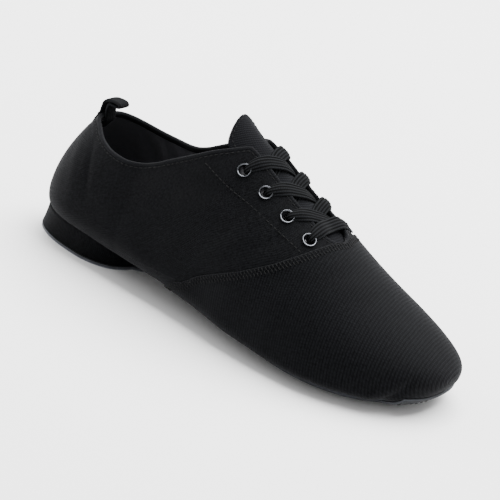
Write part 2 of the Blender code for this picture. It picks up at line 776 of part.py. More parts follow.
def make_toe_patch():
    """Crescent of suede ahead of the forefoot pad, wrapped up round the tip."""

    def low(share, side):
        return angle_at_reach(share, side, forepad_half(share * LENGTH, -TOE_PATCH_GAP), above=False)

    def high(share, side):
        side_edge = angle_at_reach(share, side, TOE_PATCH_WIDTH / 2.0, above=False)
        top_edge = angle_below(share, side, TOE_PATCH_HEIGHT)
        return np.maximum(np.minimum(side_edge, top_edge), low(share, side))

    pad_front = FOREPAD_MIDDLE + np.linspace(0.0, FOREPAD_LENGTH / 2.0, 400)
    first = np.interp(-TOE_PATCH_WIDTH / 2.0, -forepad_half(pad_front, -TOE_PATCH_GAP), pad_front)
    tip = np.linspace(LENGTH - TOE_EDGE_ROUND, LENGTH, 400)
    last = np.interp(TOE_PATCH_HEIGHT, section(tip / LENGTH, INNER)[2], tip)
    shares = eased(first, last, TOE_PATCH_STATIONS) / LENGTH
    start = CLEARANCE + VAMP_STEP
    end = start + PATCH_THICKNESS
    return laid("toe_patch", "suede", shares, low, high, PIECE_ROWS, start, end)


def heel_outline(stations):
    """Band's edge on the canvas round the heel, from the inner front to the outer front.

    Gives the share, side, angle and place of each point and the outline's outward direction there.
    """
    points = []
    for side in SIDES:
        reach = heel_reach(stations, side)
        angles = angle_at_reach(stations, side, reach, above=False)
        edge = outside(stations, angles, side)
        run = [(share, side, angle, place) for share, angle, place in zip(stations, angles, edge)]
        points.extend(run[::-1] if side == INNER else run[1:])
    places = np.array([point[3] for point in points])
    ahead = np.gradient(places[:, :2], axis=0)
    out = np.stack([-ahead[:, 1], ahead[:, 0], np.zeros(len(ahead))], axis=1)
    out = -out / np.linalg.norm(out, axis=1)[:, None]
    return points, out


def make_heel():
    """Fabric-covered heel block, hollowed for the canvas and flared at the floor, and its suede pad."""
    stations = eased(1e-6, HEEL_FRONT / LENGTH, HEEL_STATIONS, at_last=False)
    points, out = heel_outline(stations)
    built = bmesh.new()
    middles = {share: built.verts.new(outside(share, -math.pi / 2.0, INNER)) for share in stations}
    seat = []
    for share, side, top, _ in points:
        angles = np.linspace(-math.pi / 2.0, top, HEEL_ROWS + 1)[1:]
        seat.append([middles[share]] + [built.verts.new(outside(share, a, side)) for a in angles])
    for first, second in zip(seat, seat[1:]):
        for j in range(HEEL_ROWS):
            corners = dict.fromkeys((first[j], second[j], second[j + 1], first[j + 1]))
            built.faces.new(corners)
    built.normal_update()
    for vert, normal in [(vert, vert.normal.copy()) for vert in built.verts]:
        vert.co += normal * SEAT_GAP

    floor = PAD_THICKNESS + CLEARANCE
    edge = np.array([line[-1].co for line in seat])
    band = []
    for level in np.linspace(1.0, 0.0, HEEL_BAND_ROWS + 1):
        ring = edge + out * (HEEL_BAND_THICKNESS + HEEL_FLARE * (1.0 - level) ** 1.5)
        ring[:, 2] = floor + (edge[:, 2] - floor) * level
        band.append([built.verts.new(place) for place in ring])
    for upper_ring, lower_ring in zip([[line[-1] for line in seat]] + band, band):
        for k in range(len(points) - 1):
            built.faces.new((upper_ring[k], upper_ring[k + 1], lower_ring[k + 1], lower_ring[k]))
    built.faces.new(band[-1])
    front = seat[0][:0:-1] + seat[-1] + [ring[-1] for ring in band] + [ring[0] for ring in band[::-1]]
    built.faces.new(front)
    bmesh.ops.triangulate(built, faces=built.faces)
    bmesh.ops.recalc_face_normals(built, faces=built.faces)

    outline = edge + out * (HEEL_BAND_THICKNESS + HEEL_FLARE + HEEL_PAD_EDGE)
    outline[:, 2] = 0.0
    make_object("heel_block", built, "canvas")
    pad = bmesh.new()
    low = [pad.verts.new(place) for place in outline]
    high = [pad.verts.new(place + np.array((0.0, 0.0, PAD_THICKNESS))) for place in outline]
    pad.faces.new(low)
    pad.faces.new(high[::-1])
    for k in range(len(low)):
        n = (k + 1) % len(low)
        pad.faces.new((low[k], low[n], high[n], high[k]))
    bmesh.ops.triangulate(pad, faces=pad.faces)
    bmesh.ops.recalc_face_normals(pad, faces=pad.faces)
    make_object("heel_pad", pad, "suede")


def back_line(height, off):
    """Point of the back seam at a height, moved off the canvas."""
    small = 1e-4
    here = Vector((back_shift(0.0, height), 0.0, height))
    ahead = Vector((back_shift(0.0, height + small), 0.0, height + small)) - here
    return here + Vector((-ahead.z, 0.0, ahead.x)).normalized() * off


def collar_sag():
    """How far the collar's back curves away over half the width of the pull loop."""
    shares = np.linspace(1e-6, 0.1, 400)
    _, half, _, _, _, _, upper = section(shares, OUTER)
    angle = angle_at_height(shares, OUTER, COLLAR_HEIGHT)
    half = half * (1.0 - drawn_in(shares, COLLAR_HEIGHT, OUTER))
    reach = half * np.cos(angle) ** (2.0 / upper)
    return float(np.interp(LOOP_WIDTH / 2.0, reach, shares)) * LENGTH


def make_pull_loop():
    """Webbing loop stitched to both faces of the collar's back, leaning ahead."""
    tail = np.linspace(COLLAR_HEIGHT - LOOP_TAIL, COLLAR_HEIGHT, 3)
    outer_off = CLEARANCE + LOOP_WEB / 2.0
    inner_off = -WALL - CLEARANCE - LOOP_WEB / 2.0 - collar_sag()
    top = back_line(COLLAR_HEIGHT, outer_off)
    knots = [back_line(height, outer_off) for height in tail]
    for ahead, up in LOOP_LINE:
        knots.append(top + Vector((ahead * LOOP_REACH, 0.0, up * LOOP_HEIGHT)))
    knots += [back_line(height, inner_off) for height in tail[::-1]]
    knots = np.array(knots)
    run = np.concatenate([[0.0], np.cumsum(np.linalg.norm(np.diff(knots, axis=0), axis=1))])
    wanted = np.linspace(0.0, run[-1], LOOP_STATIONS + 1)
    xs = smooth_through(run, knots[:, 0], wanted)
    zs = smooth_through(run, knots[:, 2], wanted)
    line = [Vector((x, 0.0, z)) for x, z in zip(xs, zs)]
    normals = []
    for i in range(len(line)):
        ahead = line[min(i + 1, len(line) - 1)] - line[max(i - 1, 0)]
        normals.append(Vector((-ahead.z, 0.0, ahead.x)).normalized())
    make_object("pull_loop", ribbon(line, normals, LOOP_WIDTH, LOOP_WEB), "webbing")


def clear_scene():
    """Removes what the startup scene holds."""
    for old in list(bpy.data.objects):
        bpy.data.objects.remove(old, do_unlink=True)


def centre_on_floor():
    """Moves the shoe so that the origin is under the middle of its box, on the floor."""
    bpy.context.view_layer.update()
    graph = bpy.context.evaluated_depsgraph_get()
    corners = []
    for made in bpy.data.objects:
        if not made.hide_render:
            box = made.evaluated_get(graph).bound_box
            corners.extend(made.matrix_world @ Vector(corner) for corner in box)
    points = np.array(corners)
    low, high = points.min(axis=0), points.max(axis=0)
    shift = Vector((-(low[0] + high[0]) / 2.0, -(low[1] + high[1]) / 2.0, -low[2]))
    for made in bpy.data.objects:
        made.data.transform(Matrix.Translation(shift))


def main():
    """Builds the shoe."""
    clear_scene()
    upper = make_upper()
    cut_eyelet_holes(upper)
    make_insole()
    make_tongue()
    make_forefoot_pad()
    make_toe_patch()
    make_heel()
    make_pull_loop()
    make_eyelets()
    make_laces()
    centre_on_floor()


main()
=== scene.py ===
"""Looks of a black canvas jazz shoe for the right foot, on a pale studio floor.

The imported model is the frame. Every visible piece is worked out on the surface of the last, in
metres, with the heel's back near x = 0, the inner (big toe) side at +Y and the floor at z = 0, and
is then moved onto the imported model.
"""

from __future__ import annotations

import logging
import math
from collections.abc import Callable, Sequence
from dataclasses import dataclass, field, replace
from enum import Enum

import bmesh
import bpy
import numpy as np
from bpy.types import Material, Mesh, Node, NodeSocket
from mathutils import Matrix, Vector


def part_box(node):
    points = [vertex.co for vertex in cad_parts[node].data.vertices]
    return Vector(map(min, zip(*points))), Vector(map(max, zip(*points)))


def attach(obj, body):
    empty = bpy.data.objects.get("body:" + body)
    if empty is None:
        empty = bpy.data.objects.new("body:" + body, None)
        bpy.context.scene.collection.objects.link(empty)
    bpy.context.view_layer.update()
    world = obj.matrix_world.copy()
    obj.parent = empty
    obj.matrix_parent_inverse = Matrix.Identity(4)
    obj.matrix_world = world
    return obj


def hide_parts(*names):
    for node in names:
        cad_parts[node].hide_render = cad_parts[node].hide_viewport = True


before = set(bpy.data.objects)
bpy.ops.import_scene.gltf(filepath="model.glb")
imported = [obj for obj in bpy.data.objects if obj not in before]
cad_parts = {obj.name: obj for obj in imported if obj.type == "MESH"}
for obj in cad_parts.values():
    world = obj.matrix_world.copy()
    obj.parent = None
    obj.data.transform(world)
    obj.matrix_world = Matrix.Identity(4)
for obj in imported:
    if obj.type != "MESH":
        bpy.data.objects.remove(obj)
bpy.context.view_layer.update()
LOG = logging.getLogger("jazz_shoe")
MM = 0.001
WELD = 2e-6  # distance under which the vertices of two grids are joined
FINE_WELD = 1e-7  # the same for tapes and metal, whose own points lie close together
ON_MIDDLE = 1e-6  # distance from the middle plane that counts as on it, for a grid
LINE_ON_MIDDLE = 1e-5  # the same for a line
LINE_STEP = 0.8 * MM  # distance between the places of a line on the canvas
UNDERNEATH, RIDGE = -math.pi / 2.0, math.pi / 2.0  # angles round a section
Array = np.ndarray


class Side(Enum):
    """The two sides of the foot, with the sign of y on each."""

    INNER = 1.0
    OUTER = -1.0


class Edge(Enum):
    """How the ends of a row of places are spaced."""

    FIRST = "closer at the first end"
    LAST = "closer at the last end"
    BOTH = "closer at both ends"


def spaced(first: float, last: float, count: int, edge: Edge) -> Array:
    """Places from first to last.

    Args:
        first: The first place.
        last: The last place.
        count: How many steps there are.
        edge: Where the places lie closer together.

    Returns:
        count + 1 places.
    """
    t = np.linspace(0.0, 1.0, count + 1)
    if edge is Edge.BOTH:
        t = (1.0 - np.cos(math.pi * t)) / 2.0
    elif edge is Edge.FIRST:
        t = 1.0 - np.cos(math.pi / 2.0 * t)
    else:
        t = np.sin(math.pi / 2.0 * t)
    return first + (last - first) * t


def smooth_through(known: Sequence[float], values: Sequence[float], wanted: Array) -> Array:
    """Reads a cubic curve whose slopes are held so that it never overshoots a row.

    Args:
        known: Rising places of the rows.
        values: The value at each row.
        wanted: Places to read.

    Returns:
        The curve's value at each wanted place.
    """
    xs, ys = np.asarray(known, float), np.asarray(values, float)
    at = np.asarray(wanted, float)
    step = np.diff(xs)
    rise = np.diff(ys) / step
    slope = np.zeros_like(ys)
    slope[0], slope[-1] = rise[0], rise[-1]
    steady = rise[:-1] * rise[1:] > 0.0
    pair = np.where(steady, rise[:-1] + rise[1:], 1.0)
    slope[1:-1] = np.where(steady, 2.0 * rise[:-1] * rise[1:] / pair, 0.0)
    i = np.clip(np.searchsorted(xs, at) - 1, 0, len(step) - 1)
    t = np.clip((at - xs[i]) / step[i], 0.0, 1.0)
    start = (1.0 + 2.0 * t) * (1.0 - t) ** 2 * ys[i] + t * (1.0 - t) ** 2 * step[i] * slope[i]
    end = t * t * (3.0 - 2.0 * t) * ys[i + 1] + t * t * (t - 1.0) * step[i] * slope[i + 1]
    return start + end


def closing(distance: Array, radius: float, power: float = 2.0) -> Array:
    """Share of the full size near an end that rounds off.

    Args:
        distance: Distance from the end.
        radius: Length over which the end rounds off.
        power: Squareness of the rounding; 2 is an ellipse.

    Returns:
        A share from 0 to 1.
    """
    t = np.clip(np.asarray(distance, float) / radius, 0.0, 1.0)
    return (1.0 - (1.0 - t) ** power) ** (1.0 / power)


def unit(vectors: Array) -> Array:
    """Vectors of length 1 along the last axis."""
    return vectors / np.maximum(np.linalg.norm(vectors, axis=-1, keepdims=True), 1e-12)


@dataclass(frozen=True)
class Last:
    """The form that the shoe is built on: the outside of its canvas, in the shoe's own sizes."""

    length: float = 0.241
    ball_width: float = 0.086
    heel_width: float = 0.064
    instep_height: float = 0.092
    collar_height: float = 0.0676
    heel_lift: float = 0.0088
    toe_spring: float = 0.0042
    toe_tip_height: float = 0.0178
    toe_swing: float = 0.0100
    toe_swing_start: float = 0.45
    back_lean: float = 0.0177
    back_curl: float = 0.0040
    back_fullest: float = 0.33
    back_reach: float = 0.30
    heel_plan_round: float = 0.030
    heel_plan_power: float = 2.1
    heel_edge_round: float = 0.008
    heel_edge_rise: float = 0.0032
    toe_plan_round: float = 0.050
    toe_plan_power: float = 2.2
    toe_crown_round: float = 0.027
    toe_edge_round: float = 0.016
    wall: float = 0.0018
    clearance: float = 0.0003
    pad_thickness: float = 0.0016
    press: float = 0.0003
    vamp_step: float = 0.0007
    throat_at: float = 0.1695
    facings_start: float = 0.1130
    facing_gap: float = 0.0190
    throat_round: float = 0.0090
    heel_share: float = 0.26
    ball_share: float = 0.68
    # along is a share of length; inner and outer are half widths as shares of the local width; seat
    # is a share of the heel's lift, spring of toe_spring; widest and crown are heights as shares of
    # instep_height; lower and upper are the powers of the section's halves (2 is an ellipse).
    section_columns: tuple[str, ...] = (
        "along", "inner", "outer", "seat", "spring", "widest", "crown", "lower", "upper",
    )
    sections: tuple[tuple[float, ...], ...] = (
        (0.00, 0.462, 0.440, 1.00, 0.00, 0.287, 1.130, 2.6, 2.6),
        (0.08, 0.478, 0.472, 1.00, 0.00, 0.287, 1.130, 2.6, 2.6),
        (0.16, 0.487, 0.506, 0.90, 0.00, 0.287, 1.125, 2.6, 2.5),
        (0.26, 0.484, 0.528, 0.60, 0.00, 0.283, 1.110, 2.5, 2.2),
        (0.38, 0.452, 0.506, 0.46, 0.00, 0.259, 1.085, 2.5, 1.95),
        (0.48, 0.452, 0.499, 0.33, 0.00, 0.220, 1.000, 2.6, 1.8),
        (0.58, 0.458, 0.521, 0.12, 0.00, 0.182, 0.848, 2.7, 1.85),
        (0.68, 0.457, 0.519, 0.00, 0.00, 0.153, 0.700, 2.8, 2.0),
        (0.76, 0.472, 0.526, 0.00, 0.00, 0.134, 0.565, 2.8, 2.1),
        (0.84, 0.474, 0.498, 0.00, 0.10, 0.130, 0.447, 2.8, 2.2),
        (0.92, 0.458, 0.469, 0.00, 0.45, 0.145, 0.348, 2.6, 2.3),
        (1.00, 0.445, 0.429, 0.00, 1.00, 0.172, 0.290, 2.4, 2.3),
    )
    # Height of the collar's edge, a share of collar_height, at shares of length
    rim: tuple[tuple[float, float], ...] = (
        (0.00, 1.000), (0.02, 0.995), (0.05, 0.982), (0.08, 0.957), (0.12, 0.926), (0.17, 0.900),
        (0.21, 0.895), (0.25, 0.914), (0.29, 0.970), (0.32, 1.038), (0.36, 1.128), (0.41, 1.240),
        (0.47, 1.340),
    )
    # Where the vamp's edge crosses each angle of the section, in degrees, as a share of length
    seam: tuple[tuple[float, float], ...] = (
        (-90.0, 0.375), (-40.0, 0.395), (-13.0, 0.425), (5.0, 0.475), (15.0, 0.528),
        (26.0, 0.584), (43.0, 0.645), (63.0, 0.681), (90.0, 0.7033),
    )
    # How far the heel is drawn in at the collar's height, as a share of its half width: along, then
    # on the inner and on the outer side
    draw: tuple[tuple[float, float, float], ...] = (
        (0.00, 0.33, 0.30), (0.05, 0.41, 0.40), (0.08, 0.38, 0.38), (0.12, 0.31, 0.32),
        (0.17, 0.19, 0.24), (0.21, 0.14, 0.22), (0.26, 0.17, 0.25), (0.31, 0.17, 0.20),
        (0.37, 0.10, 0.13), (0.44, 0.03, 0.04), (0.50, 0.00, 0.00),
    )

    def section(self, share: Array, side: Side) -> tuple[Array, ...]:
        """Sizes of the cross section.

        Args:
            share: Places along the foot as shares of its length.
            side: The side of the foot.

        Returns:
            middle, half width, low, widest and crown heights, lower and upper power.
        """
        share = np.asarray(share, float)
        rows = dict(zip(self.section_columns, zip(*self.sections)))

        def read(name: str) -> Array:
            """One column, read at the shares."""
            return smooth_through(rows["along"], rows[name], share)

        at = share * self.length
        from_toe = self.length - at
        width = np.interp(
            share, (self.heel_share, self.ball_share), (self.heel_width, self.ball_width)
        )
        half = read("inner" if side is Side.INNER else "outer") * width
        half = half * closing(at, self.heel_plan_round, self.heel_plan_power)
        half = half * closing(from_toe, self.toe_plan_round, self.toe_plan_power)
        forefoot_lift = self.pad_thickness + self.clearance - self.press
        low = forefoot_lift + (self.heel_lift - forefoot_lift) * read("seat")
        low = low + self.toe_spring * read("spring")
        low = low + self.heel_edge_rise * (1.0 - closing(at, self.heel_edge_round))
        tip = self.toe_tip_height
        low = tip + (low - tip) * closing(from_toe, self.toe_edge_round)
        rounding = closing(from_toe, self.toe_crown_round)
        crown = tip + (read("crown") * self.instep_height - tip) * rounding
        widest = tip + (read("widest") * self.instep_height - tip) * rounding
        swing = (share - self.toe_swing_start) / (1.0 - self.toe_swing_start)
        middle = self.toe_swing * np.clip(swing, 0.0, 1.0) ** 2
        return middle, half, low, widest, crown, read("lower"), read("upper")

    def back_shift(self, share: Array, height: Array) -> Array:
        """How far the heel's back curve is ahead of its fullest place at this height."""
        t = height / self.collar_height
        curl = self.back_curl * np.clip(1.0 - t / self.back_fullest, 0.0, None) ** 2
        over = np.clip((t - self.back_fullest) / (1.0 - self.back_fullest), 0.0, None)
        fade = np.clip(1.0 - share / self.back_reach, 0.0, 1.0)
        return (curl + self.back_lean * over**1.8) * fade**1.5

    def drawn_in(self, share: Array, height: Array, side: Side) -> Array:
        """Share of its half width by which the heel is drawn in at this height."""
        places, inner, outer = zip(*self.draw)
        most = smooth_through(places, inner if side is Side.INNER else outer, share)
        over = (height / self.collar_height - self.back_fullest) / (1.0 - self.back_fullest)
        return most * np.clip(over, 0.0, 1.0) ** 2

    def outside(self, share: Array, angle: Array, side: Side) -> Array:
        """Points on the outside of the canvas.

        Args:
            share: Places along the foot.
            angle: Angles round the section in radians, -90 degrees underneath to 90 on the ridge.
            side: The side of the foot.

        Returns:
            Points, with xyz on the last axis.
        """
        share, angle = np.broadcast_arrays(np.asarray(share, float), np.asarray(angle, float))
        middle, half, low, widest, crown, lower, upper = self.section(share, side)
        turn, lift = np.abs(np.cos(angle)), np.sin(angle)
        power = np.where(lift < 0.0, lower, upper)
        reach = np.where(lift < 0.0, widest - low, crown - widest)
        height = widest + np.sign(lift) * reach * np.abs(lift) ** (2.0 / power)
        half = half * (1.0 - self.drawn_in(share, height, side))
        across = middle + side.value * half * turn ** (2.0 / power)
        ahead = share * self.length + self.back_shift(share, height)
        return np.stack([ahead, across, height], axis=-1)

    def angle_at_height(self, share: Array, side: Side, height: Array) -> Array:
        """Angle of the upper half of the section at this height."""
        _, _, _, widest, crown, _, upper = self.section(share, side)
        lift = np.clip((height - widest) / np.maximum(crown - widest, 1e-9), 0.0, 1.0)
        return np.arcsin(lift ** (upper / 2.0))

    def angle_below(self, share: Array, side: Side, height: float) -> Array:
        """Angle of the lower half of the section at this height."""
        _, _, low, widest, _, lower, _ = self.section(share, side)
        depth = np.clip((widest - height) / np.maximum(widest - low, 1e-9), 0.0, 1.0)
        return -np.arcsin(depth ** (lower / 2.0))

    def angle_at_reach(self, share: Array, side: Side, reach: Array, above: bool) -> Array:
        """Angle at a distance from the section's middle.

        Args:
            share: Places along the foot.
            side: The side of the foot.
            reach: Distance across from the middle.
            above: True for the half over the widest place.

        Returns:
            Angles in radians.
        """
        _, half, _, _, _, lower, upper = self.section(share, side)
        turn = np.clip(reach / np.maximum(half, 1e-9), 0.0, 1.0)
        if above:
            return np.arccos(turn ** (upper / 2.0))
        return -np.arccos(turn ** (lower / 2.0))

    def rim_angle(self, share: Array, side: Side) -> Array:
        """Where the upper ends above: the collar, then the facing's edge, then the ridge."""
        share = np.asarray(share, float)
        at = share * self.length
        places, heights = zip(*self.rim)
        height = self.collar_height * smooth_through(places, heights, share)
        gap = self.facing_gap / 2.0 * closing(self.throat_at - at, self.throat_round)
        facing = self.angle_at_reach(share, side, gap, above=True)
        collar = self.angle_at_height(share, side, height)
        front = np.where(at < self.facings_start, np.minimum(collar, facing), facing)
        return np.where(at < self.facings_start / 2.0, collar, front)

    def seam_share(self, level: Array, side: Side) -> Array:
        """Share of the length at which rows at these levels meet the vamp's edge.

        Args:
            level: 0 under the foot to 1 at the upper's top edge.
            side: The side of the foot.

        Returns:
            Shares of the length.
        """
        angles, alongs = zip(*self.seam)
        share = np.full(np.shape(level), 0.5)
        for _ in range(60):
            angle = UNDERNEATH + (self.rim_angle(share, side) - UNDERNEATH) * level
            share = 0.5 * (share + smooth_through(angles, alongs, np.degrees(angle)))
        return np.where(np.asarray(level) < 1.0, share, self.throat_at / self.length)

    def top(self, at: float, across: float, off: float = 0.0) -> tuple[Vector, Vector]:
        """Point over the canvas's top surface.

        Args:
            at: Place along the foot.
            across: Place across it.
            off: Height off the canvas.

        Returns:
            The point and the surface's normal there.
        """

        def point(place: float, y: float) -> Vector:
            """Point of the top surface at a place along and across."""
            share = place / self.length
            side = Side.INNER if y >= float(self.section(share, Side.INNER)[0]) else Side.OUTER
            middle, half, _, widest, crown, _, upper = self.section(share, side)
            turn = min(abs(y - middle) / half, 1.0)
            return Vector((place, y, widest + (crown - widest) * (1.0 - turn**upper) ** (1.0 / upper)))

        small = 1e-4
        here = point(at, across)
        normal = (point(at + small, across) - here).cross(point(at, across + small) - here)
        normal.normalize()
        return here + normal * off, normal


LAST = Last()


def frame_shift() -> Vector:
    """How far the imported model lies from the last's own frame."""
    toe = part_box("upper")[1].x
    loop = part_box("pull_loop")
    return Vector((toe - LAST.length - LAST.vamp_step, (loop[0].y + loop[1].y) / 2.0, 0.0))


SHIFT = frame_shift()


def normals(points: Array, side: Side) -> Array:
    """Outward normals of a grid [station, row, xyz] that lies on one side of the foot.

    Args:
        points: The grid, stations toward the toe and rows upward.
        side: The side of the foot.

    Returns:
        Unit normals in the grid's shape, held in the middle plane where the two sides meet.
    """
    along = np.gradient(points, axis=0)
    upward = np.gradient(points, axis=1)
    out = unit(np.cross(along, upward) * -side.value)
    middle = LAST.section(np.clip(points[..., 0] / LAST.length, 0.0, 1.0), side)[0]
    meets = np.abs(points[..., 1] - middle) < ON_MIDDLE
    out[meets, 1] = 0.0
    tip = points[..., 0] > LAST.length - ON_MIDDLE
    out[tip] = (1.0, 0.0, 0.0)
    return unit(out)


def run_length(points: Array, axis: int) -> Array:
    """Length run along one axis of a grid of points, 0 at its first place."""
    steps = np.linalg.norm(np.diff(points, axis=axis), axis=-1)
    start = np.zeros_like(np.take(steps, [0], axis=axis))
    return np.concatenate([start, np.cumsum(steps, axis=axis)], axis=axis)


def cloth_over(points: Array) -> Array:
    """Coordinates in metres of a cloth that lies over a grid of points."""
    return np.stack([run_length(points, 0), run_length(points, 1)], axis=-1)


@dataclass
class Grid:
    """Grid of points [station, row, xyz] with cloth coordinates in metres."""

    points: Array
    cloth: Array
    flip: bool = False
    closed_rows: bool = False


def mesh_of(grids: Sequence[Grid], weld: float = WELD) -> Mesh:
    """Mesh of one or more grids, welded where they meet.

    Args:
        grids: The grids.
        weld: Distance under which vertices are joined.

    Returns:
        The mesh, with the cloth coordinates in the UV map "cloth".
    """
    places: list[Array] = []
    cloth: list[Array] = []
    faces: list[Array] = []
    base = 0
    for grid in grids:
        n, m = grid.points.shape[:2]
        index = base + np.arange(n * m).reshape(n, m)
        if grid.closed_rows:
            index = np.concatenate([index, index[:, :1]], axis=1)
        quads = np.stack([index[:-1, :-1], index[1:, :-1], index[1:, 1:], index[:-1, 1:]], axis=-1)
        quads = quads.reshape(-1, 4)
        faces.append(quads[:, ::-1] if grid.flip else quads)
        places.append(grid.points.reshape(-1, 3))
        cloth.append(grid.cloth.reshape(-1, 2))
        base += n * m
    mesh = bpy.data.meshes.new("piece")
    all_faces = np.concatenate(faces)
    mesh.from_pydata(np.concatenate(places).tolist(), [], all_faces.tolist())
    layer = mesh.uv_layers.new(name="cloth")
    coordinates = np.concatenate(cloth)[all_faces.reshape(-1)]
    layer.data.foreach_set("uv", coordinates.reshape(-1))
    work = bmesh.new()
    work.from_mesh(mesh)
    bmesh.ops.remove_doubles(work, verts=work.verts, dist=weld)
    bmesh.ops.dissolve_degenerate(work, edges=work.edges, dist=FINE_WELD)
    work.to_mesh(mesh)
    work.free()
    return mesh


def place_piece(
    name: str,
    mesh: Mesh,
    materials: Sequence[Material],
    replaced: Sequence[str] = (),
    sharp: float = 50.0,
) -> None:
    """Puts a mesh made on the last into the scene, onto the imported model.

    Args:
        name: The piece's name.
        mesh: Its mesh, in the last's own frame.
        materials: Its materials, in the order of the mesh's material slots.
        replaced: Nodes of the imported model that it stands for.
        sharp: Edges sharper than this many degrees stay sharp.
    """
    mesh.name = name
    mesh.transform(Matrix.Translation(SHIFT))
    for material in materials:
        mesh.materials.append(material)
    mesh.shade_smooth()
    mesh.set_sharp_from_angle(angle=math.radians(sharp))
    piece = bpy.data.objects.new(name, mesh)
    bpy.context.scene.collection.objects.link(piece)
    if replaced:
        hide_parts(*replaced)
    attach(piece, "root")
    LOG.info("%s: %d vertices", name, len(mesh.vertices))


# Materials


def linear(hex_colour: str) -> tuple[float, float, float, float]:
    """Turns an sRGB hex colour such as "1e1f22" into linear RGBA."""
    values = [int(hex_colour[i : i + 2], 16) / 255.0 for i in (0, 2, 4)]
    r, g, b = (v / 12.92 if v <= 0.04045 else ((v + 0.055) / 1.055) ** 2.4 for v in values)
    return r, g, b, 1.0


@dataclass
class Recipe:
    """A material in the making, with its node tree and its one shader."""

    name: str

    def __post_init__(self) -> None:
        """Starts the material."""
        self.material = bpy.data.materials.new(self.name)
        self.material.use_nodes = True
        self.tree = self.material.node_tree
        self.shader = self.tree.nodes["Principled BSDF"]

    def add(
        self,
        kind: str,
        settings: dict[str, object] | None = None,
        **links: NodeSocket | float | tuple[float, ...],
    ) -> Node:
        """Adds a node with its settings and links.

        Args:
            kind: The node's type, such as "ShaderNodeMath".
            settings: Properties of the node by name.
            **links: For inputs, by name with _ for a space or as i0, i1 for the first and second:
                a socket to link from, or a value.

        Returns:
            The node.
        """
        node = self.tree.nodes.new(kind)
        for name, value in (settings or {}).items():
            setattr(node, name, value)
        for name, value in links.items():
            numbered = name[0] == "i" and name[1:].isdigit()
            key: int | str = int(name[1:]) if numbered else name.replace("_", " ")
            if isinstance(value, NodeSocket):
                self.tree.links.new(value, node.inputs[key])
            else:
                node.inputs[key].default_value = value
        return node

    def math(self, operation: str, *inputs: NodeSocket | float) -> NodeSocket:
        """Result of one arithmetic step on sockets and numbers."""
        links = {f"i{k}": value for k, value in enumerate(inputs)}
        return self.add("ShaderNodeMath", {"operation": operation}, **links).outputs[0]

    def backs(self, turns: NodeSocket) -> NodeSocket:
        """Row of round backs, one for each whole number that the socket passes."""
        return self.math("ABSOLUTE", self.math("SINE", self.math("MULTIPLY", turns, math.pi)))

    def noise(self, place: NodeSocket, per_metre: float, detail: float, rough: float = 0.5) -> Node:
        """Noise with this many grains in a metre."""
        settings = {"Scale": per_metre, "Detail": detail, "Roughness": rough}
        return self.add("ShaderNodeTexNoise", None, Vector=place, **settings)

    def cloth(self) -> NodeSocket:
        """The cloth's own coordinates, in metres."""
        return self.add("ShaderNodeUVMap", {"uv_map": "cloth"}).outputs["UV"]

    def place(self) -> NodeSocket:
        """The place on the shoe, in metres."""
        return self.add("ShaderNodeTexCoord").outputs["Object"]

    def colour(self, tone: NodeSocket, dark: str, light: str) -> None:
        """Colours the shader between two hex colours, by a tone from 0 to 1."""
        ends = {"i6": linear(dark), "i7": linear(light)}
        mixed = self.add("ShaderNodeMix", {"data_type": "RGBA"}, i0=tone, **ends).outputs[2]
        self.tree.links.new(mixed, self.shader.inputs["Base Color"])

    def relief(self, height: NodeSocket, depth_mm: float, strength: float) -> None:
        """Gives the shader a relief of this depth."""
        sizes = {"Strength": strength, "Distance": depth_mm * MM}
        bump = self.add("ShaderNodeBump", None, Height=height, **sizes)
        self.tree.links.new(bump.outputs[0], self.shader.inputs["Normal"])

    def finish(self, **values: float | tuple[float, ...]) -> Material:
        """Sets the shader's own inputs by name, with _ for a space, and gives the material."""
        for name, value in values.items():
            self.shader.inputs[name.replace("_", " ")].default_value = value
        return self.material


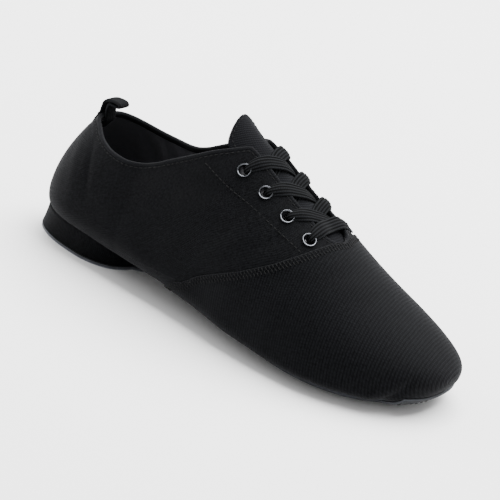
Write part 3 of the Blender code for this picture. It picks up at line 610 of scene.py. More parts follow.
@dataclass(frozen=True)
class WovenCanvas:
    """Cotton canvas, plain weave, dyed black.

    Matt, with a soft fuzz that turns pale at grazing angles. The ribs are drawn somewhat coarser
    than the real 0.6 mm threads, because those are too fine to show in the render.

    Attributes:
        name: Name of the material.
        shaded_pit: Colour of the painted shade between the threads.
        thread: Colour of the threads' backs, where the painted shade is lightest.
        rib_mm: Distance between the ribs.
        pick_mm: Distance between the threads that cross them.
        turn_deg: Angle of the ribs on the cloth.
        roughness: Roughness of the fibres.
        relief_mm: Height of the ribs.
        rib_shade: How much painted shade darkens the cloth between the ribs.
        fleck: How strong the flecks of lint are.
        cast: How uneven the dye is.
        wander_mm: How far the threads stray.
        wander_per_metre: Bends of a thread in a metre.
        lint_per_metre: Flecks in a metre.
        dye_per_metre: Clouds of the dye in a metre.
    """

    name: str
    shaded_pit: str = "010102"
    thread: str = "0e0f11"
    rib_mm: float = 1.75
    pick_mm: float = 1.3
    turn_deg: float = 0.0
    roughness: float = 0.92
    relief_mm: float = 0.16
    rib_shade: float = 0.62
    fleck: float = 0.5
    cast: float = 0.55
    wander_mm: float = 0.9
    wander_per_metre: float = 55.0
    lint_per_metre: float = 620.0
    dye_per_metre: float = 28.0

    def material(self) -> Material:
        """Builds the cloth: rounded ribs crossed by picks, painted shade between them, uneven dye and a
        little lint.
        """
        made = Recipe(self.name)
        turned = made.add(
            "ShaderNodeVectorRotate",
            {"rotation_type": "Z_AXIS"},
            Vector=made.cloth(),
            Angle=math.radians(self.turn_deg),
        ).outputs[0]
        bent = made.add(
            "ShaderNodeVectorMath",
            {"operation": "MULTIPLY_ADD"},
            i0=made.noise(turned, self.wander_per_metre, 2.0).outputs["Color"],
            i1=(self.wander_mm * MM, self.wander_mm * MM, 0.0),
            i2=turned,
        ).outputs[0]
        split = made.add("ShaderNodeSeparateXYZ", None, Vector=bent)
        ribs = made.math("DIVIDE", split.outputs["X"], self.rib_mm * MM)
        picks = made.math("DIVIDE", split.outputs["Y"], self.pick_mm * MM)
        odd = made.math("MULTIPLY", made.math("FLOOR", ribs), 0.5)
        pick = made.backs(made.math("ADD", picks, odd))
        crossed = made.math("MULTIPLY_ADD", pick, 0.55, 0.45)
        weave = made.math("MULTIPLY", made.backs(ribs), crossed)
        lint = made.noise(turned, self.lint_per_metre, 4.0, 0.8).outputs[0]
        dye = made.noise(turned, self.dye_per_metre, 4.0).outputs[0]
        # Painted shade: the weave darkens the colour between the ribs and picks and lightens the
        # threads' backs; lint and dye vary at random.
        tone = made.math("MULTIPLY_ADD", weave, self.rib_shade, 0.45 - self.rib_shade / 2.0)
        for pattern, strength in ((lint, self.fleck), (dye, self.cast)):
            around_zero = made.math("SUBTRACT", pattern, 0.5)
            tone = made.math("MULTIPLY_ADD", around_zero, strength, tone)
        tone = made.math("MINIMUM", made.math("MAXIMUM", tone, 0.0), 1.0)
        made.colour(tone, self.shaded_pit, self.thread)
        made.relief(made.math("MULTIPLY_ADD", lint, 0.35, weave), self.relief_mm, 0.8)
        fuzz = {"Sheen_Weight": 0.11, "Sheen_Roughness": 0.42, "Sheen_Tint": linear("b2b2b6")}
        return made.finish(Roughness=self.roughness, IOR=1.5, Specular_IOR_Level=0.06, **fuzz)


@dataclass(frozen=True)
class BrushedSuede:
    """Split leather with a brushed nap: matt, cloudy, darker where it is worn smooth."""

    name: str = "split leather, brushed nap"
    dark: str = "0a0b0d"
    light: str = "1c1e22"
    clouds_per_metre: float = 60.0
    fibres_per_metre: float = 1400.0
    nap_mm: float = 0.2

    def material(self) -> Material:
        """Builds the nap from cloudy patches and fine fibres."""
        made = Recipe(self.name)
        place = made.place()
        clouds = made.noise(place, self.clouds_per_metre, 5.0).outputs[0]
        fibres = made.noise(place, self.fibres_per_metre, 4.0, 0.75).outputs[0]
        tone = made.math("MULTIPLY_ADD", fibres, 0.7, -0.25)
        tone = made.math("MULTIPLY_ADD", clouds, 0.9, tone)
        made.colour(tone, self.dark, self.light)
        made.relief(fibres, self.nap_mm, 0.7)
        return made.finish(Roughness=0.95, IOR=1.5, Specular_IOR_Level=0.12, Sheen_Weight=0.06)


@dataclass(frozen=True)
class FibreMaterial:
    """Plain fibre or cut surface with a fine noise relief, such as thread, lining or a raw edge."""

    name: str
    colour: str
    second: str
    roughness: float = 0.8
    grains_per_metre: float = 900.0
    relief_mm: float = 0.05
    sheen: float = 0.2
    coat: float = 0.0
    specular: float = 0.5

    def material(self) -> Material:
        """Builds the material from two close colours mixed by noise."""
        made = Recipe(self.name)
        place = made.place()
        grain = made.noise(place, self.grains_per_metre, 4.0).outputs[0]
        made.colour(grain, self.colour, self.second)
        made.relief(grain, self.relief_mm, 0.6)
        gloss = {"Coat_Weight": self.coat, "Coat_Roughness": 0.3, "Specular_IOR_Level": self.specular}
        return made.finish(Roughness=self.roughness, IOR=1.5, Sheen_Weight=self.sheen, **gloss)


@dataclass(frozen=True)
class WovenTape:
    """Braided or woven tape with ribs along its length, such as a flat lace or a webbing loop.

    The ribs are in the mesh; this paints shade into the grooves between them and adds the slanted
    braid.
    """

    name: str
    dark: str
    light: str
    width_mm: float = 8.0
    ribs: int = 5
    braid_mm: float = 1.3
    slant: float = 0.8
    groove_shade_power: float = 2.2
    fibres_per_metre: float = 1500.0
    relief_mm: float = 0.15

    def material(self) -> Material:
        """Builds the braid as slanted waves along the tape's own coordinates, with painted shade in the
        grooves.
        """
        made = Recipe(self.name)
        split = made.add("ShaderNodeSeparateXYZ", None, Vector=made.cloth())
        off_middle = made.math("ABSOLUTE", split.outputs["Y"])
        slanted = made.math("MULTIPLY", off_middle, self.slant)
        run = made.math("ADD", split.outputs["X"], slanted)
        turn = made.math("MULTIPLY", run, math.tau / (self.braid_mm * MM))
        wave = made.math("MULTIPLY_ADD", made.math("SINE", turn), 0.5, 0.5)
        place = made.place()
        fibres = made.noise(place, self.fibres_per_metre, 3.0).outputs[0]
        per_metre = self.ribs / (self.width_mm * MM)
        ribs = made.math("MULTIPLY_ADD", split.outputs["Y"], per_metre, self.ribs / 2.0)
        # Painted shade: the colour darkens toward each groove between the mesh's ribs.
        rib = made.math("POWER", made.backs(ribs), self.groove_shade_power)
        yarn = made.math("MULTIPLY_ADD", fibres, 0.5, made.math("MULTIPLY", wave, 0.4))
        tone = made.math("MULTIPLY", made.math("ADD", yarn, 0.35), rib)
        made.colour(tone, self.dark, self.light)
        made.relief(tone, self.relief_mm, 0.8)
        return made.finish(Roughness=0.8, IOR=1.5, Specular_IOR_Level=0.03, Sheen_Weight=0.01)


@dataclass(frozen=True)
class PlatedSteel:
    """Pressed steel with a nickel plating: bright, with soft scratches that break the reflections."""

    name: str = "steel, nickel plated"
    colour: str = "5a5c60"
    roughness: float = 0.14
    wear: float = 0.2
    marks_per_metre: float = 700.0

    def material(self) -> Material:
        """Builds the metal with a little unevenness."""
        made = Recipe(self.name)
        place = made.place()
        wear = made.noise(place, self.marks_per_metre, 3.0).outputs[0]
        rough = made.math("MULTIPLY_ADD", wear, self.wear, self.roughness - self.wear / 2.0)
        made.tree.links.new(rough, made.shader.inputs["Roughness"])
        return made.finish(Base_Color=linear(self.colour), Metallic=1.0)


# Canvas of the quarters and the heel, whose weave shows as flecks more than as ribs
FINE_CANVAS = WovenCanvas("fine canvas", rib_mm=0.95, pick_mm=0.9, rib_shade=0.3, fleck=3.4)


@dataclass(frozen=True)
class Finishes:
    """Every finish of the shoe, made once."""

    vamp: Material = field(
        default_factory=WovenCanvas(
            "cotton canvas, woven, vamp", turn_deg=-10.5, rib_shade=0.9, fleck=2.6
        ).material
    )
    quarter: Material = field(
        default_factory=replace(
            FINE_CANVAS, name="cotton canvas, woven, quarters", turn_deg=48.0
        ).material
    )
    tongue: Material = field(
        default_factory=WovenCanvas(
            "cotton canvas, woven, tongue", thread="16171a", rib_mm=1.4, turn_deg=-10.5
        ).material
    )
    heel: Material = field(
        default_factory=replace(
            FINE_CANVAS, name="cotton canvas, woven, heel cover", turn_deg=30.0
        ).material
    )
    binding: Material = field(
        default_factory=WovenCanvas(
            "cotton tape, folded", shaded_pit="040404", thread="17181b", rib_mm=0.8, pick_mm=0.8, turn_deg=45.0
        ).material
    )
    suede: Material = field(default_factory=BrushedSuede().material)
    raw_edge: Material = field(
        default_factory=FibreMaterial(
            "split leather, cut edge", "2c2e33", "8b8f97", 0.9, 160.0, 0.12
        ).material
    )
    dyed_edge: Material = field(
        default_factory=FibreMaterial(
            "split leather, cut edge, dyed", "08080a", "4a4d54", 0.9, 110.0, 0.12
        ).material
    )
    lining: Material = field(
        default_factory=FibreMaterial(
            "lining cloth, calendered", "27272b", "3c3c42", 0.3, 1800.0, 0.03, 0.15, 0.5
        ).material
    )
    sock: Material = field(
        default_factory=FibreMaterial(
            "insole cloth, brushed", "060607", "0b0b0d", 0.9, 1500.0, 0.1, 0.05
        ).material
    )
    thread: Material = field(
        default_factory=FibreMaterial(
            "polyester thread, twisted", "030303", "0a0a0b", 0.8, 2500.0, sheen=0.0, specular=0.2
        ).material
    )
    lace: Material = field(
        default_factory=WovenTape("polyester lace, braided flat", "010101", "1b1c1e").material
    )
    webbing: Material = field(
        default_factory=WovenTape(
            "cotton tape, woven", "040405", "191a1c", width_mm=10.0, ribs=7, braid_mm=0.9, slant=0.2
        ).material
    )
    steel: Material = field(default_factory=PlatedSteel().material)


# Places on the canvas


@dataclass
class Track:
    """A line on one side of the canvas, as places (share, angle) with points and directions."""

    side: Side
    share: Array
    angle: Array

    @property
    def points(self) -> Array:
        """Points of the line on the canvas."""
        return LAST.outside(self.share, self.angle, self.side)

    @property
    def out(self) -> Array:
        """Outward normals of the canvas along the line."""
        along, upward = slopes(self.share, self.angle, self.side)
        found = unit(np.cross(along, upward) * -self.side.value)
        middle = LAST.section(self.share, self.side)[0]
        found[np.abs(self.points[:, 1] - middle) < LINE_ON_MIDDLE, 1] = 0.0
        return unit(found)

    @property
    def ahead(self) -> Array:
        """Directions of the line; at an end on the middle plane it runs straight across."""
        points = self.points
        found = np.gradient(points, axis=0)
        middle = LAST.section(self.share, self.side)[0]
        for end in (0, -1):
            if abs(points[end, 1] - middle[end]) < LINE_ON_MIDDLE:
                found[end] = (0.0, math.copysign(1.0, found[end, 1]), 0.0)
        return unit(found)

    def moved(self, distance: float) -> Track:
        """The line moved over the canvas, away from the collar or toward the toe."""
        into = unit(np.cross(self.out, self.ahead)) * self.side.value
        target = self.points + into * distance
        share, angle = self.share.copy(), self.angle.copy()
        for _ in range(4):
            along, upward = slopes(share, angle, self.side)
            left = target - LAST.outside(share, angle, self.side)
            pairs = ((along, along), (along, upward), (upward, upward))
            aa, ab, bb = (np.sum(p * q, axis=-1) for p, q in pairs)
            la, lb = np.sum(left * along, axis=-1), np.sum(left * upward, axis=-1)
            size = np.maximum(aa * bb - ab * ab, 1e-16)
            share = np.clip(share + (la * bb - lb * ab) / size, 0.0, 1.0)
            angle = np.clip(angle + (lb * aa - la * ab) / size, UNDERNEATH, RIDGE)
        return Track(self.side, share, angle)

    def resampled(self, step: float, soften: int = 0) -> Track:
        """The line with places at equal steps.

        Args:
            step: Distance between places.
            soften: How often each place is drawn toward its neighbours, to round off corners.

        Returns:
            The new line.
        """
        run = run_length(self.points, 0)
        count = max(int(round(run[-1] / step)), 2)
        wanted = np.linspace(0.0, run[-1], count + 1)
        share = np.interp(wanted, run, self.share)
        angle = np.interp(wanted, run, self.angle)
        for _ in range(soften):
            share[1:-1] = (share[:-2] + 2.0 * share[1:-1] + share[2:]) / 4.0
            angle[1:-1] = (angle[:-2] + 2.0 * angle[1:-1] + angle[2:]) / 4.0
        return Track(self.side, share, angle)

    def part(self, first: float, last: float) -> Track:
        """The places from first to last, as shares of the line's places."""
        n = len(self.share)
        chosen = slice(int(round(first * (n - 1))), int(round(last * (n - 1))) + 1)
        return Track(self.side, self.share[chosen], self.angle[chosen])


def slopes(share: Array, angle: Array, side: Side) -> tuple[Array, Array]:
    """How the canvas's points change with the share and with the angle."""
    small = 1e-5
    high, low = np.minimum(share + small, 1.0), np.maximum(share - small, 0.0)
    along = LAST.outside(high, angle, side) - LAST.outside(low, angle, side)
    over = np.minimum(angle + small, RIDGE)
    under = np.maximum(angle - small, UNDERNEATH)
    upward = LAST.outside(share, over, side) - LAST.outside(share, under, side)
    return along / (high - low)[..., None], upward / (over - under)[..., None]


def rim_track(side: Side) -> Track:
    """The upper's top edge on one side, from the heel's back to the end of the throat."""
    share = spaced(0.0, LAST.throat_at / LAST.length, 900, Edge.BOTH)
    return Track(side, share, LAST.rim_angle(share, side)).resampled(LINE_STEP, soften=6)


def seam_track(side: Side) -> Track:
    """The vamp's edge on one side, from under the foot to the ridge."""
    level = np.linspace(0.0, 1.0, 400)
    share = LAST.seam_share(level, side)
    angle = UNDERNEATH + (LAST.rim_angle(share, side) - UNDERNEATH) * level
    return Track(side, share, angle).resampled(LINE_STEP)


@dataclass(frozen=True)
class Crease:
    """Soft trough or ridge placed on the canvas.

    Attributes:
        knots: Places along it in millimetres: (x, z) seen from the side or (x, y) from above.
        depth: How far it goes in, in millimetres; a ridge is negative.
        width: Distance from its middle line at which it has nearly faded, in millimetres.
        side: The side of the foot that it is on, or None for both.
        above: True if the knots are seen from above.
    """

    knots: tuple[tuple[float, float], ...]
    depth: float
    width: float
    side: Side | None = Side.OUTER
    above: bool = False

    def lift(self, points: Array, side: Side) -> Array:
        """How far the crease raises each point of a grid off the canvas."""
        if self.side not in (None, side):
            return np.zeros(points.shape[:-1])
        flat = points[..., [0, 1]] if self.above else points[..., [0, 2]]
        knots = np.asarray(self.knots, float) * MM
        run = run_length(knots, 0)
        wanted = np.linspace(0.0, run[-1], 90)
        path = np.stack([smooth_through(run, knots[:, k], wanted) for k in (0, 1)], axis=-1)
        gap = np.linalg.norm(flat[..., None, :] - path, axis=-1)
        nearest = np.argmin(gap, axis=-1)
        fade = np.sin(math.pi * np.clip((nearest + 8.0) / 105.0, 0.0, 1.0)) ** 0.8
        near = np.min(gap, axis=-1) / (0.55 * self.width * MM)
        return -self.depth * MM * fade * np.exp(-near * near)


def creased(points: Array, side: Side, creases: Sequence[Crease]) -> Array:
    """Sum of what the creases raise at each point of a grid."""
    total = np.zeros(points.shape[:-1])
    for crease in creases:
        total += crease.lift(points, side)
    return total


# Small parts


@dataclass
class Stitching:
    """Rows of stitches, joined into one mesh."""

    length: float = 2.0 * MM
    pitch: float = 2.7 * MM
    width: float = 0.50 * MM
    height: float = 0.42 * MM
    starts: list[Array] = field(default_factory=list)
    ends: list[Array] = field(default_factory=list)
    ups: list[Array] = field(default_factory=list)

    def row(self, points: Array, ups: Array, zigzag: float = 0.0, lean: float = 0.0) -> None:
        """Adds a row.

        Args:
            points: The row's line, on the face of the cloth.
            ups: The cloth's outward normals there.
            zigzag: How far the stitches go to each side; 0 for a straight row.
            lean: Angle in radians by which each stitch is turned from the line.
        """
        run = run_length(points, 0)
        pitch = self.pitch * (0.55 if zigzag else 0.68 if lean else 1.0)
        count = int(run[-1] / pitch)
        if count < 1:
            return
        step = run[-1] / count
        middles = (np.arange(count) + 0.5) * step
        half = 0.5 * (self.length if not zigzag else step)

        def read(values: Array, at: Array) -> Array:
            """Values along the line at these runs."""
            return np.stack([np.interp(at, run, values[:, k]) for k in range(3)], axis=-1)

        first, last = read(points, middles - half), read(points, middles + half)
        up = unit(read(ups, middles))
        if zigzag:
            across = unit(np.cross(up, last - first)) * zigzag
            sign = np.where(np.arange(count) % 2 == 0, 1.0, -1.0)[:, None]
            first, last = first - across * sign, last + across * sign
        if lean:
            middle, ahead = (first + last) / 2.0, (last - first) / 2.0
            turned = ahead * math.cos(lean) + np.cross(up, ahead) * math.sin(lean)
            first, last = middle - turned, middle + turned
        self.starts.append(first)
        self.ends.append(last)
        self.ups.append(up)

    def along(self, track: Track, off: float, zigzag: float = 0.0, lean: float = 0.0) -> None:
        """Adds a row along a line on the canvas, at a height off it."""
        lean = lean * (1.0 if track.side is Side.OUTER else -1.0)
        self.row(track.points + track.out * off, track.out, zigzag, lean)

    def mesh(self) -> Mesh:
        """Every stitch as a low rounded bar whose ends dip into the cloth."""
        first, last = np.concatenate(self.starts), np.concatenate(self.ends)
        up = np.concatenate(self.ups)
        ahead = last - first
        across = unit(np.cross(up, ahead))
        middle = (first + last) / 2.0
        grids = []
        runs = np.array([-0.5, -0.36, 0.0, 0.36, 0.5])
        girth = np.array([0.35, 0.85, 1.0, 0.85, 0.35])
        sink = np.array([-0.45, 0.05, 0.16, 0.05, -0.45])
        turns = np.linspace(0.0, math.tau, 6, endpoint=False)
        for t, g, s in zip(runs, girth, sink):
            centre = middle + ahead * t + up * (s * self.height)
            ring = [
                centre
                + across * (math.cos(a) * g * self.width / 2.0)
                + up * (math.sin(a) * g * self.height / 2.0)
                for a in turns
            ]
            grids.append(np.stack(ring, axis=1))
        points = np.stack(grids, axis=1)
        count = len(points)
        index = np.arange(count * 30).reshape(count, 5, 6)
        beside = np.roll(index, -1, axis=2)
        quads = np.stack(
            [index[:, :-1], index[:, 1:], beside[:, 1:], beside[:, :-1]], axis=-1
        ).reshape(-1, 4)
        mesh = bpy.data.meshes.new("stitches")
        mesh.from_pydata(points.reshape(-1, 3).tolist(), [], quads[:, ::-1].tolist())
        return mesh


# The upper


@dataclass
class Upper:
    """Canvas quarters, canvas vamp, their folded edges and the lining.

    Attributes:
        finishes: The shoe's finishes.
        underlap: How far the quarters run on under the vamp.
        seam_fade: Distance from the vamp's edge over which the quarters' creases fade.
        rim_fade: Share of the rows over which they fade at the collar.
        quarter_stations: Steps along the quarters.
        vamp_stations: Steps along the vamp.
        rows: Steps from under the foot to the top edge.
        edge_round: Radius of the vamp's folded edge.
        tuck: How far that edge starts under the face of the quarters.
        bead_height: How far the fold's layers swell behind the edge.
        bead_at: Distance from the edge to the swelling, and its width.
        hole_radius: Radius of the holes under the eyelets.
        facing_margin: Distance from the eyelets to the facing's row of stitches.
        topline_row: Distance from the top edge to its row of stitches.
        seam_rows: Distances from the vamp's edge to its rows of stitches.
        seam_lean: Angle of those stitches to their row, in radians.
        lining_end: Share of the length at which the lining ends, inside the toe.
        edge_steps: Distances from the vamp's edge to its first stations, in millimetres.
        fold_profile: Section of the folded top edge, as depth from it and height, in millimetres.
        creases: Creases of the quarters.
        vamp_creases: Creases of the vamp.
        slack: Wrinkles of the lining.
    """

    finishes: Finishes
    underlap: float = 4.0 * MM
    seam_fade: float = 9.0 * MM
    rim_fade: float = 0.06
    quarter_stations: int = 190
    vamp_stations: int = 120
    rows: int = 84
    edge_round: float = 0.7 * MM
    tuck: float = 0.15 * MM
    bead_height: float = 0.22 * MM
    bead_at: float = 0.9 * MM
    hole_radius: float = 2.3 * MM
    facing_margin: float = 6.5 * MM
    topline_row: float = 2.3 * MM
    seam_rows: tuple[float, ...] = (1.4 * MM, 3.3 * MM)
    seam_lean: float = -1.2
    lining_end: float = 0.985
    edge_steps: tuple[float, ...] = (0.0, 0.12, 0.3, 0.5, 0.75, 1.1, 1.6, 2.3, 3.2)
    fold_profile: tuple[tuple[float, float], ...] = (
        (1.5, -0.15), (1.45, 0.04), (1.25, 0.12), (0.9, 0.20), (0.5, 0.24), (0.15, 0.20),
        (-0.15, 0.05), (-0.4, -0.3), (-0.5, -0.8), (-0.45, -1.35), (-0.25, -1.85), (0.2, -2.15),
        (1.4, -2.25), (2.4, -2.2), (2.4, -1.7),
    )
    creases: tuple[Crease, ...] = (
        # Edge of the heel counter under the canvas, and the cloth swelling behind it
        Crease(((27.0, 64.0), (31.0, 55.0), (35.0, 45.0), (39.0, 34.0)), 0.7, 3.2),
        Crease(((19.0, 60.0), (22.0, 50.0), (26.0, 40.0), (30.0, 28.0)), -0.40, 7.0),
        # The quarter falls in behind the ball and under the collar
        Crease(((52.0, 50.0), (64.0, 42.0), (80.0, 40.0), (98.0, 46.0)), 1.1, 15.0, None),
        Crease(((86.0, 61.0), (102.0, 66.0), (120.0, 69.0)), 0.6, 8.0, None),
        Crease(((118.0, 38.0), (127.0, 48.0), (134.0, 58.0), (140.0, 67.0)), -0.7, 10.0, None),
        Crease(((70.0, 22.0), (88.0, 18.0), (104.0, 20.0)), -0.5, 9.0, None),
        Crease(((60.0, 30.0), (74.0, 30.0), (90.0, 28.0)), 0.45, 6.0),
        # Soft wrinkles below the eyelets
        Crease(((140.0, 50.0), (147.0, 58.0), (152.0, 66.0)), 0.4, 4.0),
        Crease(((132.0, 56.0), (140.0, 64.0), (144.0, 71.0)), 0.35, 4.5),
    )
    vamp_creases: tuple[Crease, ...] = (
        Crease(((176.0, -26.0), (181.0, -12.0), (184.0, 4.0), (182.0, 20.0)), 0.35, 7.0, None, True),
        Crease(((190.0, -24.0), (196.0, -8.0), (197.0, 10.0), (193.0, 24.0)), 0.25, 8.0, None, True),
        Crease(((150.0, -38.0), (160.0, -34.0), (170.0, -30.0)), 0.5, 6.0, None, True),
        # Gathers where the cloth turns under beside the toe patch
        Crease(((219.0, 3.0), (224.0, 8.0), (230.0, 15.0), (232.0, 21.0)), 0.9, 3.0),
        Crease(((213.0, 3.0), (218.0, 9.0), (224.0, 15.0)), -0.6, 4.0),
        Crease(((204.0, 4.0), (208.0, 9.0), (212.0, 13.0)), 0.35, 3.5),
        Crease(((190.0, 4.0), (193.0, 9.0), (195.0, 14.0)), 0.3, 4.0),
    )
    slack: tuple[Crease, ...] = (
        Crease(((34.0, 60.0), (40.0, 50.0), (44.0, 40.0)), 1.2, 5.0, Side.INNER),
        Crease(((46.0, 58.0), (54.0, 50.0), (66.0, 44.0)), 1.4, 5.0, Side.INNER),
        Crease(((60.0, 58.0), (72.0, 48.0), (90.0, 40.0)), 1.2, 5.0, Side.INNER),
        Crease(((84.0, 64.0), (92.0, 52.0), (104.0, 44.0)), 1.2, 6.0, Side.INNER),
        Crease(((44.0, 54.0), (50.0, 42.0), (62.0, 32.0)), -0.8, 6.0, None),
        Crease(((24.0, 58.0), (28.0, 44.0), (40.0, 30.0)), 0.7, 6.0, None),
    )

    def quarters(self) -> None:
        """The two quarters' canvas, holed under the eyelets."""
        grids = []
        level = np.linspace(0.0, 1.0, self.rows + 1)
        for side in Side:
            reach = LAST.seam_share(level, side) + self.underlap / LAST.length
            share = spaced(0.0, 1.0, self.quarter_stations, Edge.FIRST)[:, None] * reach[None, :]
            angle = UNDERNEATH + (LAST.rim_angle(share, side) - UNDERNEATH) * level
            points = LAST.outside(share, angle, side)
            from_seam = (reach[None, :] - share) * LAST.length
            fade = np.clip(from_seam / self.seam_fade - 0.4, 0.0, 1.0)
            fade = fade * np.clip((1.0 - level) / self.rim_fade, 0.0, 1.0)
            off = creased(points, side, self.creases) * fade
            placed = points + normals(points, side) * off[..., None]
            grids.append(Grid(placed, cloth_over(points), side is Side.INNER))
        mesh = mesh_of(grids)
        self.pierce(mesh)
        place_piece("quarters", mesh, [self.finishes.quarter], ["upper"])

    def pierce(self, mesh: Mesh) -> None:
        """Takes away the faces that lie under an eyelet's barrel."""
        centres = [LAST.top(at, across)[0] for at, across in eyelet_places().values()]
        work = bmesh.new()
        work.from_mesh(mesh)
        inside = [
            f
            for f in work.faces
            if any((f.calc_center_median() - c).length < self.hole_radius for c in centres)
        ]
        bmesh.ops.delete(work, geom=inside, context="FACES")
        work.to_mesh(mesh)
        work.free()

    def vamp_shares(self, level: Array, side: Side) -> Array:
        """Places of the vamp's grid: closer together behind its folded edge and at the tip."""
        seam = LAST.seam_share(level, side)
        edge = np.array(self.edge_steps) * MM / LAST.length
        rest = spaced(0.0, 1.0, self.vamp_stations, Edge.LAST)
        start = seam + edge[-1]
        ahead = start[None, :] + (1.0 - start[None, :]) * rest[1:, None]
        return np.concatenate([seam[None, :] + edge[:, None], ahead])

    def vamp(self) -> None:
        """The vamp's canvas, one layer proud of the quarters, with a folded edge."""
        grids = []
        level = np.linspace(0.0, 1.0, self.rows + 1)
        ridge_share = np.linspace(0.3, 1.0, 600)
        ridge = LAST.outside(ridge_share, np.full(len(ridge_share), RIDGE), Side.INNER)
        ridge_run = run_length(ridge, 0)
        for side in Side:
            share = np.minimum(self.vamp_shares(level, side), 1.0 - 1e-9)
            angle = UNDERNEATH + (LAST.rim_angle(share, side) - UNDERNEATH) * level
            points = LAST.outside(share, angle, side)
            past = (share - share[0]) * LAST.length
            off = (LAST.vamp_step + self.tuck) * closing(past, self.edge_round) - self.tuck
            off = off + self.bead_height * np.exp(-((past / self.bead_at - 1.0) ** 2))
            off = off + creased(points, side, self.vamp_creases)
            placed = points + normals(points, side) * off[..., None]
            along = np.interp(points[..., 0], ridge[:, 0], ridge_run)
            around = run_length(points, 1)
            around = (around[:, -1:] - around) * side.value
            grids.append(Grid(placed, np.stack([along, around], axis=-1), side is Side.INNER))
        place_piece("vamp", mesh_of(grids), [self.finishes.vamp], ["upper"])

    def lining(self) -> None:
        """Lining inside the whole upper, slack and a little wrinkled at the sides."""
        grids = []
        level = np.linspace(0.0, 1.0, 57)
        for side in Side:
            share = spaced(0.0, self.lining_end, 170, Edge.FIRST)[:, None]
            angle = UNDERNEATH + (LAST.rim_angle(share, side) - UNDERNEATH) * level
            points = LAST.outside(share, angle, side)
            off = -LAST.wall - np.abs(creased(points, side, self.slack))
            placed = points + normals(points, side) * off[..., None]
            grids.append(Grid(placed, cloth_over(points), side is Side.OUTER))
        mesh = mesh_of(grids)
        self.pierce(mesh)
        place_piece("lining", mesh, [self.finishes.lining], ["upper"])

    def fold(self, stitching: Stitching) -> None:
        """Folded edge round the collar and the facings, with its row of stitches."""
        depths = np.array([deep for deep, _ in self.fold_profile]) * MM
        across = np.cumsum(np.abs(np.gradient(depths)))
        grids = []
        for side in Side:
            rim = rim_track(side)
            into = unit(np.cross(rim.out, rim.ahead)) * side.value
            lines = []
            for deep, off in self.fold_profile:
                if deep > 0.0:
                    line = rim.moved(deep * MM)
                    lines.append(line.points + line.out * (off * MM))
                else:
                    lines.append(rim.points + into * (deep * MM) + rim.out * (off * MM))
            run = run_length(rim.points, 0)
            cloth = np.stack(np.broadcast_arrays(run[:, None], across), axis=-1)
            grids.append(Grid(np.stack(lines, axis=1), cloth, side is Side.OUTER))
            stitching.along(rim.moved(self.topline_row).part(0.0, 0.96), 0.03 * MM)
        finishes = [self.finishes.binding]
        place_piece("folded_edge", mesh_of(grids), finishes, ["upper"], sharp=60.0)

    def stitch(self, stitching: Stitching) -> None:
        """Adds the rows of stitches of the quarters and the vamp."""
        for side in Side:
            seam = seam_track(side)
            for distance in self.seam_rows:
                row = seam.moved(distance)
                stitching.along(row, LAST.vamp_step + 0.06 * MM, lean=self.seam_lean)
            stitching.along(self.facing_row(side), 0.05 * MM)

    def facing_row(self, side: Side) -> Track:
        """Line of the facing's row of stitches, from under the collar's edge to the vamp's."""
        share = np.linspace(0.40, 0.70, 400)
        middle_reach = eyelet_places()["eyelet_inner_1"][1] + self.facing_margin
        angle = LAST.angle_at_reach(share, side, middle_reach, above=True)
        angles, alongs = zip(*LAST.seam)
        seam = smooth_through(angles, alongs, np.degrees(angle))
        keep = (angle < LAST.rim_angle(share, side) - 0.05) & (share < seam - 0.002)
        return Track(side, share[keep], angle[keep]).resampled(LINE_STEP, soften=4)

    def build(self) -> None:
        """Makes every piece of the upper."""
        stitching = Stitching()
        self.quarters()
        self.vamp()
        self.lining()
        self.fold(stitching)
        self.stitch(stitching)
        place_piece("upper_stitches", stitching.mesh(), [self.finishes.thread])


# Pieces laid on the canvas


